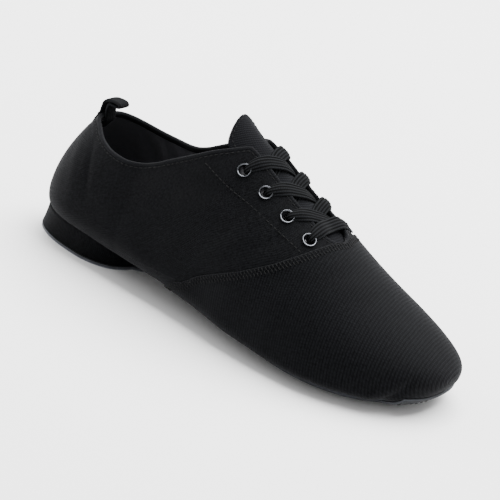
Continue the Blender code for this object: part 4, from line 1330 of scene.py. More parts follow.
@dataclass
class Laid:
    """Flat piece that lies on the canvas, or just inside it, between two limits of angle.

    Attributes:
        shares: Places along the foot.
        low: Lower limit of the angle at a share, on a side.
        high: Upper limit of the angle.
        near: Height of its inner face off the canvas.
        far: Height of its outer face off the canvas.
        rows: How many rows each side has.
        round_edge: Radius of its upper edge; 0 for a cut edge.
        floor: The lowest height it may reach, or None.
        edge_at_high: True if its free edge is at the upper limit.
    """

    shares: Array
    low: Callable[[Array, Side], Array]
    high: Callable[[Array, Side], Array]
    near: float
    far: float
    rows: int = 26
    round_edge: float = 0.0
    floor: float | None = None
    edge_at_high: bool = True

    def face(self, side: Side, off: float, round_to: float) -> Grid:
        """One face of the piece.

        Args:
            side: The side of the foot.
            off: The face's height off the canvas.
            round_to: Height that it has at the free edge.

        Returns:
            The face's grid.
        """
        low, high = self.low(self.shares, side), self.high(self.shares, side)
        level = spaced(0.0, 1.0, self.rows, Edge.LAST if self.edge_at_high else Edge.FIRST)
        angle = low[:, None] + (high - low)[:, None] * level[None, :]
        share = np.broadcast_to(self.shares[:, None], angle.shape)
        points = LAST.outside(share, angle, side)
        edge = points[:, -1:] if self.edge_at_high else points[:, :1]
        gap = np.linalg.norm(points - edge, axis=-1)
        gap = np.minimum(gap, np.linalg.norm(points - points[:1], axis=-1))
        height = np.full(gap.shape, off)
        if self.round_edge:
            height = round_to + (off - round_to) * closing(gap, self.round_edge)
        along, upward = slopes(share, angle, side)
        out = unit(np.cross(along, upward) * -side.value)
        middle = LAST.section(share, side)[0]
        out[np.abs(points[..., 1] - middle) < ON_MIDDLE, 1] = 0.0
        placed = points + unit(out) * height[..., None]
        if self.floor is not None:
            placed[..., 2] = np.maximum(placed[..., 2], self.floor)
        return Grid(placed, cloth_over(points), side is Side.INNER)

    def mesh(self) -> Mesh:
        """Both faces and the edge between them; the edge is the mesh's second material."""
        middle = (self.near + self.far) / 2.0
        outer = [self.face(side, self.far, middle) for side in Side]
        inner = [self.face(side, self.near, middle) for side in Side]
        for grid in inner:
            grid.flip = not grid.flip
        mesh = mesh_of([*outer, *inner])
        if self.round_edge:
            return mesh
        work = bmesh.new()
        work.from_mesh(mesh)
        layer = work.loops.layers.uv.active
        rims = [edge for edge in work.edges if edge.is_boundary]
        made = bmesh.ops.bridge_loops(work, edges=rims)
        for face in made["faces"]:
            face.material_index = 1
            for loop in face.loops:
                loop[layer].uv = (loop.vert.co.x, loop.vert.co.z)
        work.to_mesh(mesh)
        work.free()
        return mesh


def under(share: Array, side: Side) -> Array:
    """Angle of the middle line underneath."""
    return np.full(np.shape(share), UNDERNEATH)


def ridge(share: Array, side: Side) -> Array:
    """Angle of the ridge on top."""
    return np.full(np.shape(share), RIDGE)


@dataclass
class Tongue:
    """Canvas tongue under the facings, its edge turned and stitched."""

    finishes: Finishes
    width: float = 35.0 * MM
    tip_at: float = 93.5 * MM
    inner_round: float = 12.0 * MM
    outer_round: float = 6.0 * MM
    foot_at: float = 185.0 * MM
    free_length: float = 26.0 * MM
    lift: float = 2.6 * MM
    set_back: float = 4.5 * MM
    widening: float = 1.0 * MM
    gap: float = 0.7 * MM
    thickness: float = 1.6 * MM
    edge_round: float = 1.1 * MM
    row_margin: float = 2.5 * MM
    row_end: float = 150.0 * MM

    def half(self, share: Array, side: Side, margin: float = 0.0) -> Array:
        """Half the tongue's width at a share, less a margin; its tip is fuller on the inner side."""
        ahead = share * LAST.length - self.tip_at - margin
        tip_round = self.inner_round if side is Side.INNER else self.outer_round
        return (self.width / 2.0 - margin) * closing(ahead, tip_round - 0.5 * margin)

    def build(self) -> None:
        """Makes the tongue and its row of stitches."""
        tip = spaced(self.tip_at, self.tip_at + self.inner_round, 34, Edge.FIRST)
        rest = np.linspace(tip[-1], self.foot_at, 70)[1:]
        shares = np.concatenate([tip, rest]) / LAST.length
        face = -LAST.wall - self.gap
        piece = Laid(
            shares,
            lambda share, side: LAST.angle_at_reach(share, side, self.half(share, side), above=True),
            ridge,
            face - self.thickness,
            face,
            rows=30,
            round_edge=self.edge_round,
            edge_at_high=False,
        )
        mesh = piece.mesh()
        self.stand(mesh)
        place_piece("tongue", mesh, [self.finishes.tongue], ["tongue"])
        stitching = Stitching()
        for side in Side:
            start = self.tip_at + self.row_margin + 0.1 * MM
            share = spaced(start, self.row_end, 300, Edge.FIRST) / LAST.length
            reach = self.half(share, side, self.row_margin)
            track = Track(side, share, LAST.angle_at_reach(share, side, reach, above=True))
            stitching.along(track.resampled(LINE_STEP), face + 0.05 * MM)
        mesh = stitching.mesh()
        self.stand(mesh)
        place_piece("tongue_stitches", mesh, [self.finishes.thread])

    def stand(self, mesh: Mesh) -> None:
        """Lifts the free end of the tongue off the last and widens it on the outer side."""
        for vertex in mesh.vertices:
            t = max(0.0, 1.0 - (vertex.co.x - self.tip_at) / self.free_length)
            outward = max(0.0, -vertex.co.y / (self.width / 2.0))
            vertex.co.z += self.lift * t * t
            vertex.co.x += self.set_back * t * t
            vertex.co.y -= self.widening * math.sin(math.pi * min(t, 1.0)) * outward


@dataclass
class Insole:
    """Cloth-covered insole lying in the upper."""

    finishes: Finishes
    back: float = 2.9 * MM
    front: float = 237.4 * MM
    margin: float = 5.0 * MM
    gap: float = 0.6 * MM
    thickness: float = 1.5 * MM
    edge_round: float = 0.8 * MM

    def build(self) -> None:
        """Makes the insole."""

        def edge(share: Array, side: Side) -> Array:
            """Angle of the insole's edge."""
            reach = np.clip(LAST.section(share, side)[1] - self.margin, 0.0, None)
            return LAST.angle_at_reach(share, side, reach, above=False)

        shares = spaced(self.back, self.front, 110, Edge.BOTH) / LAST.length
        face = -LAST.wall - self.gap
        near = face - self.thickness
        piece = Laid(shares, under, edge, near, face, rows=18, round_edge=self.edge_round)
        place_piece("insole", piece.mesh(), [self.finishes.sock], ["insole"])


@dataclass
class Sole:
    """Split leather pads under the forefoot and at the toe, with pale cut edges and stitches."""

    finishes: Finishes
    pad_length: float = 86.0 * MM
    pad_width: float = 70.0 * MM
    pad_middle: float = 183.0 * MM
    pad_power: float = 2.2
    patch_gap: float = 3.0 * MM
    patch_width: float = 48.0 * MM
    patch_height: float = 10.5 * MM
    patch_thickness: float = 1.0 * MM
    pad_rows: tuple[float, ...] = (2.5 * MM, 5.5 * MM, 8.5 * MM)
    patch_row: float = 2.4 * MM
    off_floor: float = 0.12 * MM

    def pad_half(self, at: Array, margin: float = 0.0) -> Array:
        """Half width of the forefoot pad at a place, less a margin all round."""
        long, wide = self.pad_length / 2.0 - margin, self.pad_width / 2.0 - margin
        t = np.clip(1.0 - np.abs((at - self.pad_middle) / long) ** self.pad_power, 0.0, None)
        return wide * t ** (1.0 / self.pad_power)

    def pad_edge(self, share: Array, side: Side, margin: float = 0.0) -> Array:
        """Angle of the forefoot pad's edge, moved in by a margin."""
        return LAST.angle_at_reach(share, side, self.pad_half(share * LAST.length, margin), above=False)

    def forefoot(self, stitching: Stitching) -> None:
        """Makes the forefoot pad and its rows of stitches."""
        ends = self.pad_middle - self.pad_length / 2.0, self.pad_middle + self.pad_length / 2.0
        shares = spaced(ends[0] + 1e-5, ends[1] - 1e-5, 90, Edge.BOTH) / LAST.length
        near = LAST.clearance + LAST.vamp_step
        far = near + LAST.pad_thickness
        piece = Laid(shares, under, self.pad_edge, near, far, floor=0.0)
        finishes = [self.finishes.suede, self.finishes.dyed_edge]
        place_piece("forefoot_pad", piece.mesh(), finishes, ["forefoot_pad"])
        for side in Side:
            for margin in self.pad_rows:
                first, last = ends[0] + margin, ends[1] - margin
                share = spaced(first + 1e-5, last - 1e-5, 300, Edge.BOTH) / LAST.length
                track = Track(side, share, self.pad_edge(share, side, margin)).resampled(LINE_STEP)
                points = track.points + track.out * far
                points[:, 2] = np.maximum(points[:, 2], self.off_floor)
                stitching.row(points, track.out)

    def toe_patch(self, stitching: Stitching) -> None:
        """Makes the toe patch and its rows of stitches."""

        def low(share: Array, side: Side, margin: float = 0.0) -> Array:
            """Angle of the patch's edge beside the forefoot pad."""
            return self.pad_edge(share, side, -self.patch_gap - margin)

        def high(share: Array, side: Side, margin: float = 0.0) -> Array:
            """Angle of the patch's outer edge, on the toe's wall."""
            wide = LAST.angle_at_reach(share, side, self.patch_width / 2.0 - margin, above=False)
            tall = LAST.angle_below(share, side, self.patch_height - margin)
            return np.maximum(np.minimum(wide, tall), low(share, side))

        pad_front = self.pad_middle + np.linspace(0.0, self.pad_length / 2.0, 400)
        halves = -self.pad_half(pad_front, -self.patch_gap)
        first = float(np.interp(-self.patch_width / 2.0, halves, pad_front))
        tip = np.linspace(LAST.length - LAST.toe_edge_round, LAST.length, 400)
        last = float(np.interp(self.patch_height, LAST.section(tip / LAST.length, Side.INNER)[2], tip))
        shares = spaced(first, last, 80, Edge.BOTH) / LAST.length
        near = LAST.clearance + LAST.vamp_step
        far = near + self.patch_thickness
        piece = Laid(shares, low, high, near, far)
        finishes = [self.finishes.suede, self.finishes.dyed_edge]
        place_piece("toe_patch", piece.mesh(), finishes, ["toe_patch"])
        for side in Side:
            share = np.linspace(first + 6.0 * MM, last - 3.0 * MM, 300) / LAST.length
            track = Track(side, share, high(share, side, self.patch_row)).resampled(LINE_STEP)
            stitching.along(track, far + 0.04 * MM)

    def build(self) -> None:
        """Makes both pads."""
        stitching = Stitching(pitch=3.0 * MM, length=2.3 * MM)
        self.forefoot(stitching)
        self.toe_patch(stitching)
        place_piece("sole_stitches", stitching.mesh(), [self.finishes.thread])


@dataclass
class Heel:
    """Canvas-covered heel block, flared at the floor, and its split leather pad."""

    finishes: Finishes
    front: float = 68.0 * MM
    corner: float = 7.0 * MM
    flare: float = 1.5 * MM
    band_height: float = 13.0 * MM
    band_fade: float = 30.0 * MM
    band_power: float = 1.6
    band_thickness: float = 0.7 * MM
    lip: float = 0.55 * MM
    lip_round: float = 1.4 * MM
    flush_from: float = 50.0 * MM
    flush_over: float = 40.0 * MM
    seat_gap: float = 0.15 * MM
    pad_edge: float = 0.4 * MM
    pad_row: float = 3.0 * MM
    off_floor: float = 0.12 * MM
    pad_profile: tuple[tuple[float, float], ...] = (
        (0.25, 0.0), (0.05, 0.2), (0.0, 0.6), (0.0, 1.2), (0.15, 1.6),
    )

    def reach(self, share: Array, side: Side) -> Array:
        """Distance from the middle at which the band ends on the canvas."""
        at = share * LAST.length
        _, half, low, widest, _, lower, _ = LAST.section(share, side)
        height = self.band_height * closing(self.front - at, self.band_fade, self.band_power)
        height = np.clip(height, low + 0.02 * (widest - low), widest)
        reach = half * (1.0 - ((widest - height) / (widest - low)) ** lower) ** (1.0 / lower)
        corner = self.corner * (1.0 - closing(self.front - at, self.corner))
        return np.clip(reach - corner, 0.0, None)

    def outline(self) -> tuple[Array, Array, Array]:
        """Band's top edge round the heel, from the inner front to the outer front.

        Returns:
            Its points on the canvas, the canvas's normals and the outline's outward directions.
        """
        shares = spaced(1e-6, self.front / LAST.length, 110, Edge.FIRST)
        points, outs = [], []
        for side in (Side.INNER, Side.OUTER):
            angle = LAST.angle_at_reach(shares, side, self.reach(shares, side), above=False)
            track = Track(side, shares, angle)
            run, out = track.points, track.out
            points.append(run[::-1] if side is Side.INNER else run[1:])
            outs.append(out[::-1] if side is Side.INNER else out[1:])
        line, normal = np.concatenate(points), np.concatenate(outs)
        ahead = np.gradient(line[:, :2], axis=0)
        away = unit(np.stack([ahead[:, 1], -ahead[:, 0], np.zeros(len(ahead))], axis=1))
        return line, normal, away

    def band(self) -> None:
        """Makes the band round the block, and the block's front."""
        edge, normal, away = self.outline()
        floor = LAST.pad_thickness + LAST.clearance
        seat = edge + normal * self.seat_gap
        flush = np.clip((self.flush_from - edge[:, :1]) / self.flush_over, 0.1, 1.0)
        lines = [edge - normal * 0.4 * MM, edge + away * 0.3 * MM * flush]
        for level in np.linspace(1.0, 0.0, 22):
            lip = self.lip * (1.0 - closing((1.0 - level) * self.band_height, self.lip_round))
            reach = (self.band_thickness - lip) * flush + self.flare * (1.0 - level) ** 1.5
            ring = seat + away * reach
            ring[:, 2] = floor + (seat[:, 2] - floor) * level
            lines.append(ring)
        lines.append(lines[-1] - away * 2.0 * MM)
        points = np.stack(lines, axis=1)
        low, high = lines[-2][[0, -1]], (seat + away * self.band_thickness)[[0, -1]]
        spread, rise = np.linspace(0.0, 1.0, 12)[:, None], np.linspace(0.0, 1.0, 6)[:, None, None]
        low_line = low[0] + (low[1] - low[0]) * spread
        high_line = high[0] + (high[1] - high[0]) * spread
        front = low_line + (high_line - low_line) * rise
        mesh = mesh_of([Grid(points, cloth_over(points)), Grid(front, front[..., 1:], True)])
        place_piece("heel_block", mesh, [self.finishes.heel], ["heel_block"])

    def pad(self, stitching: Stitching) -> None:
        """Makes the pad under the heel, its pale cut edge a little proud of the band."""
        edge, _, away = self.outline()
        outline = edge + away * (self.band_thickness + self.flare + self.pad_edge)
        lines = []
        for inset, height in self.pad_profile:
            ring = outline - away * inset * MM
            ring[:, 2] = height * MM
            lines.append(ring)
        work = bmesh.new()
        rings = [[work.verts.new(place) for place in ring] for ring in lines]
        count = len(rings[0])
        for first, second in zip(rings, rings[1:]):
            for k in range(count):
                n = (k + 1) % count
                face = work.faces.new((first[k], first[n], second[n], second[k]))
                face.material_index = 1 if first is rings[0] or first is rings[1] else 2
        work.faces.new(rings[0])
        work.faces.new(rings[-1][::-1])
        bmesh.ops.recalc_face_normals(work, faces=work.faces)
        mesh = bpy.data.meshes.new("heel_pad")
        work.to_mesh(mesh)
        work.free()
        finishes = [self.finishes.suede, self.finishes.raw_edge, self.finishes.dyed_edge]
        place_piece("heel_pad", mesh, finishes, ["heel_pad"], sharp=40.0)
        row = outline - away * self.pad_row
        row[:, 2] = self.off_floor
        down = np.tile((0.0, 0.0, -1.0), (len(row), 1))
        stitching.row(row, down)

    def build(self) -> None:
        """Makes the heel."""
        stitching = Stitching(pitch=3.0 * MM, length=2.3 * MM)
        self.band()
        self.pad(stitching)
        place_piece("heel_stitches", stitching.mesh(), [self.finishes.thread])


# Tapes, laces and eyelets


@dataclass
class Tape:
    """Flat tape along a line, ribbed along its length.

    Attributes:
        line: Points of its middle line.
        ups: Directions square to its face.
        widths: Its width at each point.
        thickness: Its thickness.
        nominal: Its width lying flat.
        ribs: How many ribs it has.
        relief: Depth of the grooves between them.
        dome: How far its middle stands over its edges, at each point.
        fold: How far its edges curl down, at each point, as an angle in radians.
    """

    line: Array
    ups: Array
    widths: Array
    thickness: float
    nominal: float = 8.0 * MM
    ribs: int = 5
    relief: float = 0.22 * MM
    dome: float | Array = 0.0
    fold: float | Array = 0.0
    across_points: int = 40

    def grid(self) -> Grid:
        """Closed sleeve of points round the tape."""
        ahead = unit(np.gradient(self.line, axis=0))
        across = unit(np.cross(self.ups, ahead))
        up = np.cross(ahead, across)
        turns = np.linspace(0.0, math.tau, self.across_points, endpoint=False)
        f = np.cos(turns)
        top = np.sin(turns) >= 0.0
        body = (1.0 - np.abs(f) ** 6) ** (1.0 / 3.0)
        rib = np.abs(np.sin((f + 1.0) / 2.0 * math.pi * self.ribs)) ** 0.7
        half = self.thickness / 2.0
        height = np.where(top, 1.0, -1.0) * body * (half - self.relief * (1.0 - rib))
        widths = np.broadcast_to(np.asarray(self.widths, float), (len(self.line),))
        dome = np.broadcast_to(np.asarray(self.dome, float), widths.shape)
        fold = np.broadcast_to(np.asarray(self.fold, float), widths.shape)
        bend = fold[:, None] * f[None, :]
        least = 1e-4
        flat_here = np.abs(fold)[:, None] < least
        radius = widths[:, None] / 2.0 / np.where(flat_here, least, fold[:, None])
        flat = np.where(flat_here, widths[:, None] / 2.0 * f, np.sin(bend) * radius)
        drop = np.where(flat_here, 0.0, (np.cos(bend) - 1.0) * radius)
        level = dome[:, None] * (1.0 - f**2)[None, :] + drop
        points = (
            self.line[:, None, :]
            + across[:, None, :] * (flat + np.sin(bend) * height)[..., None]
            + up[:, None, :] * (level + np.cos(bend) * height)[..., None]
        )
        run = run_length(self.line, 0)
        cloth = np.stack(np.broadcast_arrays(run[:, None], f[None, :] * self.nominal / 2.0), axis=-1)
        return Grid(points, cloth, closed_rows=True, flip=True)


EYELETS_FIRST, EYELETS_LAST = 116.5 * MM, 160.0 * MM  # places of the end eyelets along the foot
EYELETS_ASIDE = 18.0 * MM  # distance of each row of eyelets from the middle
EYELETS_A_SIDE = 4


def eyelet_places() -> dict[str, tuple[float, float]]:
    """Place along and across of each eyelet, by its node's name."""
    places = {}
    rows = np.linspace(EYELETS_FIRST, EYELETS_LAST, EYELETS_A_SIDE)
    for side in Side:
        for count, at in enumerate(rows, start=1):
            middle = float(LAST.section(at / LAST.length, side)[0])
            name = f"eyelet_{side.name.lower()}_{count}"
            places[name] = (float(at), middle + side.value * EYELETS_ASIDE)
    return places


@dataclass
class Eyelets:
    """Nickel-plated steel eyelets: a rolled rim over a barrel that goes through the canvas."""

    finishes: Finishes
    rim: float = 3.6 * MM
    hole: float = 2.8 * MM
    metal: float = 0.3 * MM
    rise: float = 0.65 * MM
    swell: float = 0.15 * MM
    sunk: float = 0.05 * MM
    segments: int = 48

    @property
    def top(self) -> float:
        """Height of the rim over the canvas."""
        return LAST.clearance + (2.0 * self.rim) ** 2 / (4.0 * LAST.instep_height) + self.rise

    def build(self) -> None:
        """Makes every eyelet."""
        back = -LAST.wall - LAST.clearance
        under_rim = self.top - self.rise
        crest = (self.rim + self.hole) / 2.0 + self.swell
        profile = [(self.hole, back), (self.hole, under_rim)]
        for turn in np.linspace(math.pi, 0.0, 12):
            wide = math.cos(turn) * (self.rim - self.hole) / 2.0 - self.swell * abs(math.cos(turn))
            high = math.sin(turn) * (self.rise - self.sunk)
            profile.append((crest + wide, under_rim + high))
        tube = self.hole + self.metal
        profile.append((self.rim - 0.1 * MM, under_rim - 0.25 * MM))
        profile += [(tube, under_rim - 0.2 * MM), (tube, back)]
        turns = np.linspace(0.0, math.tau, self.segments, endpoint=False)
        for name, (at, across) in eyelet_places().items():
            origin, normal = LAST.top(at, across)
            place = Matrix.Translation(origin) @ normal.to_track_quat("Z", "Y").to_matrix().to_4x4()
            basis = np.array(place)
            points = np.array(
                [[(r * math.cos(a), r * math.sin(a), h, 1.0) for a in turns] for r, h in profile]
            )
            points = (points @ basis.T)[..., :3]
            mesh = mesh_of([Grid(points, points[..., :2], closed_rows=True)], FINE_WELD)
            place_piece(name, mesh, [self.finishes.steel], [name], sharp=70.0)


@dataclass
class Lacing:
    """One flat lace: a bar over the lowest eyelets and three crossings above it."""

    finishes: Finishes
    width: float = 7.8 * MM
    thickness: float = 1.1 * MM
    groove: float = 0.38 * MM
    dome: float = 0.15 * MM
    gathered: float = 0.58
    curl: float = 1.25
    least_curl: float = 0.12
    stations: int = 64
    reach: float = 0.80
    sway: float = 3.5 * MM
    knots: tuple[float, ...] = (0.0, 0.03, 0.09, 0.17, 0.30, 0.48, 0.62, 1.0)
    inner_heights: tuple[float, ...] = (-1.6, 0.8, 1.7, 1.9, 1.3, -1.1, -2.4, -2.8)
    outer_heights: tuple[float, ...] = (-1.6, 0.6, 1.1, 1.1, 0.5, -0.7, -1.2, -2.4)
    bar_knots: tuple[float, ...] = (0.0, 0.04, 0.12, 0.24, 0.5, 0.76, 0.88, 0.96, 1.0)
    bar_heights: tuple[float, ...] = (-1.6, 0.7, 1.2, 1.1, -1.0, 1.1, 1.2, 0.7, -1.6)

    def way(
        self,
        start: tuple[float, float],
        end: tuple[float, float],
        shares: Array,
        offs: Array,
        sway: float,
    ) -> tuple[Array, Array]:
        """Middle line of a strip over the canvas, and the face's directions along it.

        Args:
            start: Place along and across of the hole it leaves.
            end: Place of the hole it makes for.
            shares: Shares of the way.
            offs: Height off the canvas at each share.
            sway: How far its middle lies toward the toe from the straight way.

        Returns:
            The points and the directions.
        """
        line, ups = [], []
        for share, off in zip(shares, offs):
            at = start[0] + (end[0] - start[0]) * share + sway * math.sin(math.pi * share)
            across = start[1] + (end[1] - start[1]) * share
            place, normal = LAST.top(at, across, off)
            line.append(place)
            ups.append(normal)
        points = np.array(line)
        flat = unit(np.cross(np.array(ups), points[-1] - points[0]))
        return points, unit(np.cross(unit(np.gradient(points, axis=0)), flat))

    def tape(self, line: Array, ups: Array, spread: Array, curled: Array, taper: Array) -> Tape:
        """A strip that is gathered and curled where it comes out of a hole.

        Args:
            line: Its middle line.
            ups: Directions square to its face.
            spread: 0 in the hole to 1 where it lies flat.
            curled: 1 in the hole to 0 where it lies flat.
            taper: Share of its width that it keeps at each point.

        Returns:
            The strip.
        """
        widths = self.width * (self.gathered + (1.0 - self.gathered) * spread**0.8) * taper
        fold = self.curl * curled**1.2 + self.least_curl
        return Tape(line, ups, widths, self.thickness, self.width, 5, self.groove, self.dome, fold)

    def strip(self, start: tuple[float, float], end: tuple[float, float], side: Side) -> Tape:
        """A strip that leaves an eyelet's hole, crosses over the throat and dips under the far facing.

        Args:
            start: Place along and across of the hole it leaves.
            end: Place of the hole it makes for.
            side: The side of the foot that it leaves.

        Returns:
            The strip.
        """
        heights = self.inner_heights if side is Side.INNER else self.outer_heights
        sway = 0.0 if side is Side.INNER else self.sway
        t = np.linspace(0.0, 1.0, self.stations)
        offs = smooth_through(self.knots, heights, t) * MM
        line, ups = self.way(start, end, t * self.reach, offs, sway)
        past_middle = np.clip((t - 0.5) / 0.5, 0.0, 1.0)
        taper = 1.0 - 0.06 * np.sin(past_middle * math.pi / 2.0)
        spread, curled = np.clip(t / 0.20, 0.0, 1.0), np.clip(1.0 - t / 0.34, 0.0, 1.0)
        return self.tape(line, ups, spread, curled, taper)

    def bar(self, start: tuple[float, float], end: tuple[float, float]) -> Tape:
        """The lowest strip, which goes from one hole straight into the other."""
        t = np.linspace(0.0, 1.0, self.stations)
        offs = smooth_through(self.bar_knots, self.bar_heights, t) * MM
        line, ups = self.way(start, end, t, offs, 0.0)
        from_hole = np.minimum(t, 1.0 - t)
        spread, curled = np.clip(from_hole / 0.18, 0.0, 1.0), np.clip(1.0 - from_hole / 0.3, 0.0, 1.0)
        return self.tape(line, ups, spread, curled, np.ones(len(t)))

    def build(self) -> None:
        """Makes the lace's strips."""
        places = eyelet_places()
        finishes = [self.finishes.lace]
        for count in range(1, EYELETS_A_SIDE):
            grids = []
            for side, word, other in ((Side.INNER, "inner", "outer"), (Side.OUTER, "outer", "inner")):
                start, end = places[f"eyelet_{word}_{count}"], places[f"eyelet_{other}_{count + 1}"]
                grids.append(self.strip(start, end, side).grid())
            name = f"lace_cross_{count}"
            place_piece(name, mesh_of(grids, FINE_WELD), finishes, [name])
        ends = [places[f"eyelet_{word}_{EYELETS_A_SIDE}"] for word in ("outer", "inner")]
        mesh = mesh_of([self.bar(*ends).grid()], FINE_WELD)
        place_piece("lace_bar", mesh, finishes, ["lace_bar"])


@dataclass
class PullLoop:
    """Woven tape loop stitched to both faces of the collar's back, leaning ahead.

    Attributes:
        finishes: The shoe's finishes.
        width: Width of the tape.
        web: Its thickness.
        height: Height over the collar that the line's shares are of.
        reach: Distance ahead that the line's shares are of.
        tail: Length of the tape sewn down on each face.
        sink: How far the outer tail's end lies in the canvas.
        bedded: How far the outer tail lies in the canvas all along.
        ribs: Ribs of the tape.
        groove: Depth of the grooves between them.
        tack_drops: Distances of the bar tack's rows under the collar's edge.
        tack_half: Half their width.
        line: The tape's middle line, ahead and up, as shares of reach and height.
    """

    finishes: Finishes
    width: float = 8.5 * MM
    web: float = 1.7 * MM
    height: float = 8.6 * MM
    reach: float = 11.6 * MM
    tail: float = 6.0 * MM
    sink: float = 1.3 * MM
    bedded: float = 0.2 * MM
    ribs: int = 7
    groove: float = 0.16 * MM
    tack_drops: tuple[float, ...] = (1.6 * MM, 4.6 * MM)
    tack_half: float = 3.4 * MM
    line: tuple[tuple[float, float], ...] = (
        (0.03, 0.33), (0.06, 0.60), (0.20, 0.83), (0.44, 0.93), (0.70, 0.95), (0.88, 0.90),
        (0.93, 0.79), (0.85, 0.71), (0.70, 0.71), (0.50, 0.73), (0.34, 0.62), (0.30, 0.22),
    )

    def back(self, height: float, off: float) -> Array:
        """Point of the back seam at a height, moved off the canvas."""
        small = 1e-4
        here = float(LAST.back_shift(0.0, height))
        slope = float(LAST.back_shift(0.0, height + small)) - here
        out = unit(np.array((-small, 0.0, slope)))
        return np.array((here, 0.0, height)) + out * off

    def sag(self) -> float:
        """How far the collar's back curves away over half the loop's width."""
        shares = np.linspace(1e-6, 0.1, 400)
        _, half, *_, upper = LAST.section(shares, Side.OUTER)
        half = half * (1.0 - LAST.drawn_in(shares, LAST.collar_height, Side.OUTER))
        angle = LAST.angle_at_height(shares, Side.OUTER, LAST.collar_height)
        reach = half * np.cos(angle) ** (2.0 / upper)
        return float(np.interp(self.width / 2.0, reach, shares)) * LAST.length

    def build(self) -> None:
        """Makes the loop and the bar tack that holds it."""
        tail = np.linspace(LAST.collar_height - self.tail, LAST.collar_height, 3)
        outer = LAST.clearance + self.web / 2.0 - self.bedded
        inner = -LAST.wall - LAST.clearance - self.web / 2.0 - self.sag() - 0.4 * MM
        top = self.back(LAST.collar_height, outer)
        sunk = (LAST.collar_height - tail) / self.tail * self.sink
        knots = [self.back(height, outer - deep) for height, deep in zip(tail, sunk)]
        knots += [top + np.array((a * self.reach, 0.0, u * self.height)) for a, u in self.line]
        knots += [self.back(height, inner) for height in tail[::-1]]
        knots = np.array(knots)
        run = run_length(knots, 0)
        wanted = np.linspace(0.0, run[-1], 110)
        line = np.stack([smooth_through(run, knots[:, k], wanted) for k in range(3)], axis=-1)
        ahead = np.gradient(line, axis=0)
        ups = unit(np.stack([-ahead[:, 2], np.zeros(len(line)), ahead[:, 0]], axis=-1))
        widths = np.full(len(line), self.width)
        tape = Tape(line, ups, widths, self.web, self.width, self.ribs, self.groove)
        mesh = mesh_of([tape.grid()], FINE_WELD)
        place_piece("pull_loop", mesh, [self.finishes.webbing], ["pull_loop"])
        stitching = Stitching(pitch=0.7 * MM, length=1.6 * MM, width=0.45 * MM)
        across = np.linspace(-self.tack_half, self.tack_half, 20)
        for drop in self.tack_drops:
            height = LAST.collar_height - drop
            out = unit(self.back(height, 1.0 * MM) - self.back(height, 0.0))
            centre = self.back(height, outer + self.web / 2.0 - drop / self.tail * self.sink)
            points = np.tile(centre, (len(across), 1))
            points[:, 1] += across
            stitching.row(points, np.tile(out, (len(across), 1)), 0.7 * MM)
        place_piece("loop_tack", stitching.mesh(), [self.finishes.thread])


# The studio


@dataclass(frozen=True)
class Lamp:
    """Square soft light that faces the shoe; place and size in metres, power in watts."""

    name: str
    place: tuple[float, float, float]
    size: float
    power: float

    def build(self) -> None:
        """Adds the light."""
        data = bpy.data.lights.new(self.name, "AREA")
        data.shape = "SQUARE"
        data.size, data.energy = self.size, self.power
        lamp = bpy.data.objects.new(self.name, data)
        bpy.context.scene.collection.objects.link(lamp)
        lamp.location = self.place
        toward = Vector((0.0, 0.0, 0.03)) - Vector(self.place)
        lamp.rotation_euler = toward.to_track_quat("-Z", "Y").to_euler()


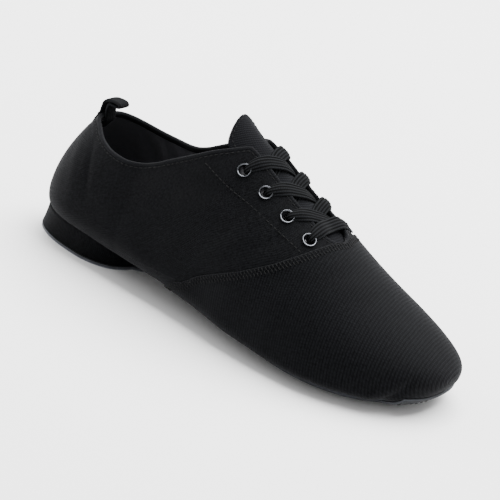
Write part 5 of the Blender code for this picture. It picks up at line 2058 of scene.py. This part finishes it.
@dataclass(frozen=True)
class Studio:
    """Pale floor, soft lights and the camera at the photo's angle to the shoe.

    Attributes:
        azimuth: Angle of the camera round the shoe, in degrees.
        elevation: Its angle over the floor.
        roll: Its turn about its own line of sight.
        distance: Its distance from the aim, in metres.
        lens: Focal length on a 36 mm sensor, in millimetres.
        aim: The point that it faces, in the last's own frame.
        floor_half: Half the side of the floor.
        sky: Strength of the white light from all round.
        lamps: The soft lights.
    """

    azimuth: float = 28.93
    elevation: float = 23.13
    roll: float = 15.03
    distance: float = 1.0
    lens: float = 144.0
    aim: tuple[float, float, float] = (0.121, 0.0, 0.035)
    floor_half: float = 4.0
    sky: float = 0.85
    lamps: tuple[Lamp, ...] = (
        Lamp("overhead", (0.0, 0.9, 2.0), 2.4, 250.0),
        Lamp("heel side", (-1.3, -0.1, 0.7), 0.8, 9.0),
        Lamp("toe side", (1.2, 0.8, 0.8), 0.7, 1.5),
    )

    def axes(self) -> tuple[Vector, Vector, Vector]:
        """The camera's right, up and back directions."""
        a, e, r = (math.radians(v) for v in (self.azimuth, self.elevation, self.roll))
        back = Vector((math.sin(a) * math.cos(e), -math.cos(a) * math.cos(e), math.sin(e)))
        right = Vector((math.cos(a), math.sin(a), 0.0))
        up = back.cross(right)
        return right * math.cos(r) + up * math.sin(r), up * math.cos(r) - right * math.sin(r), back

    def camera(self) -> None:
        """Sets up the camera."""
        right, up, back = self.axes()
        data = bpy.data.cameras.new("camera")
        data.lens = self.lens
        data.sensor_width = 36.0
        data.clip_start = 0.01
        camera = bpy.data.objects.new("camera", data)
        bpy.context.scene.collection.objects.link(camera)
        turn = Matrix((right, up, back)).transposed().to_4x4()
        camera.matrix_world = Matrix.Translation(Vector(self.aim) + SHIFT + back * self.distance) @ turn
        bpy.context.scene.camera = camera

    def floor(self) -> None:
        """Adds the floor of white paper."""
        mesh = bpy.data.meshes.new("floor")
        h = self.floor_half
        mesh.from_pydata([(-h, -h, 0.0), (h, -h, 0.0), (h, h, 0.0), (-h, h, 0.0)], [], [(0, 1, 2, 3)])
        paper = {"Base_Color": linear("f7f7f7"), "Roughness": 0.9, "Specular_IOR_Level": 0.2}
        mesh.materials.append(Recipe("paper, matt white").finish(**paper))
        floor = bpy.data.objects.new("floor", mesh)
        bpy.context.scene.collection.objects.link(floor)

    def build(self) -> None:
        """Makes the floor, the lights, the world and the camera."""
        self.floor()
        world = bpy.data.worlds.new("studio")
        world.use_nodes = True
        background = world.node_tree.nodes["Background"]
        background.inputs["Color"].default_value = linear("ffffff")
        background.inputs["Strength"].default_value = self.sky
        bpy.context.scene.world = world
        for lamp in self.lamps:
            lamp.build()
        self.camera()


def main() -> None:
    """Builds the shoe piece by piece and the studio round it."""
    logging.basicConfig(level=logging.INFO, format="%(message)s")
    finishes = Finishes()
    Upper(finishes).build()
    Tongue(finishes).build()
    Insole(finishes).build()
    Sole(finishes).build()
    Heel(finishes).build()
    PullLoop(finishes).build()
    Eyelets(finishes).build()
    Lacing(finishes).build()
    Studio().build()


if __name__ == "__main__":
    main()
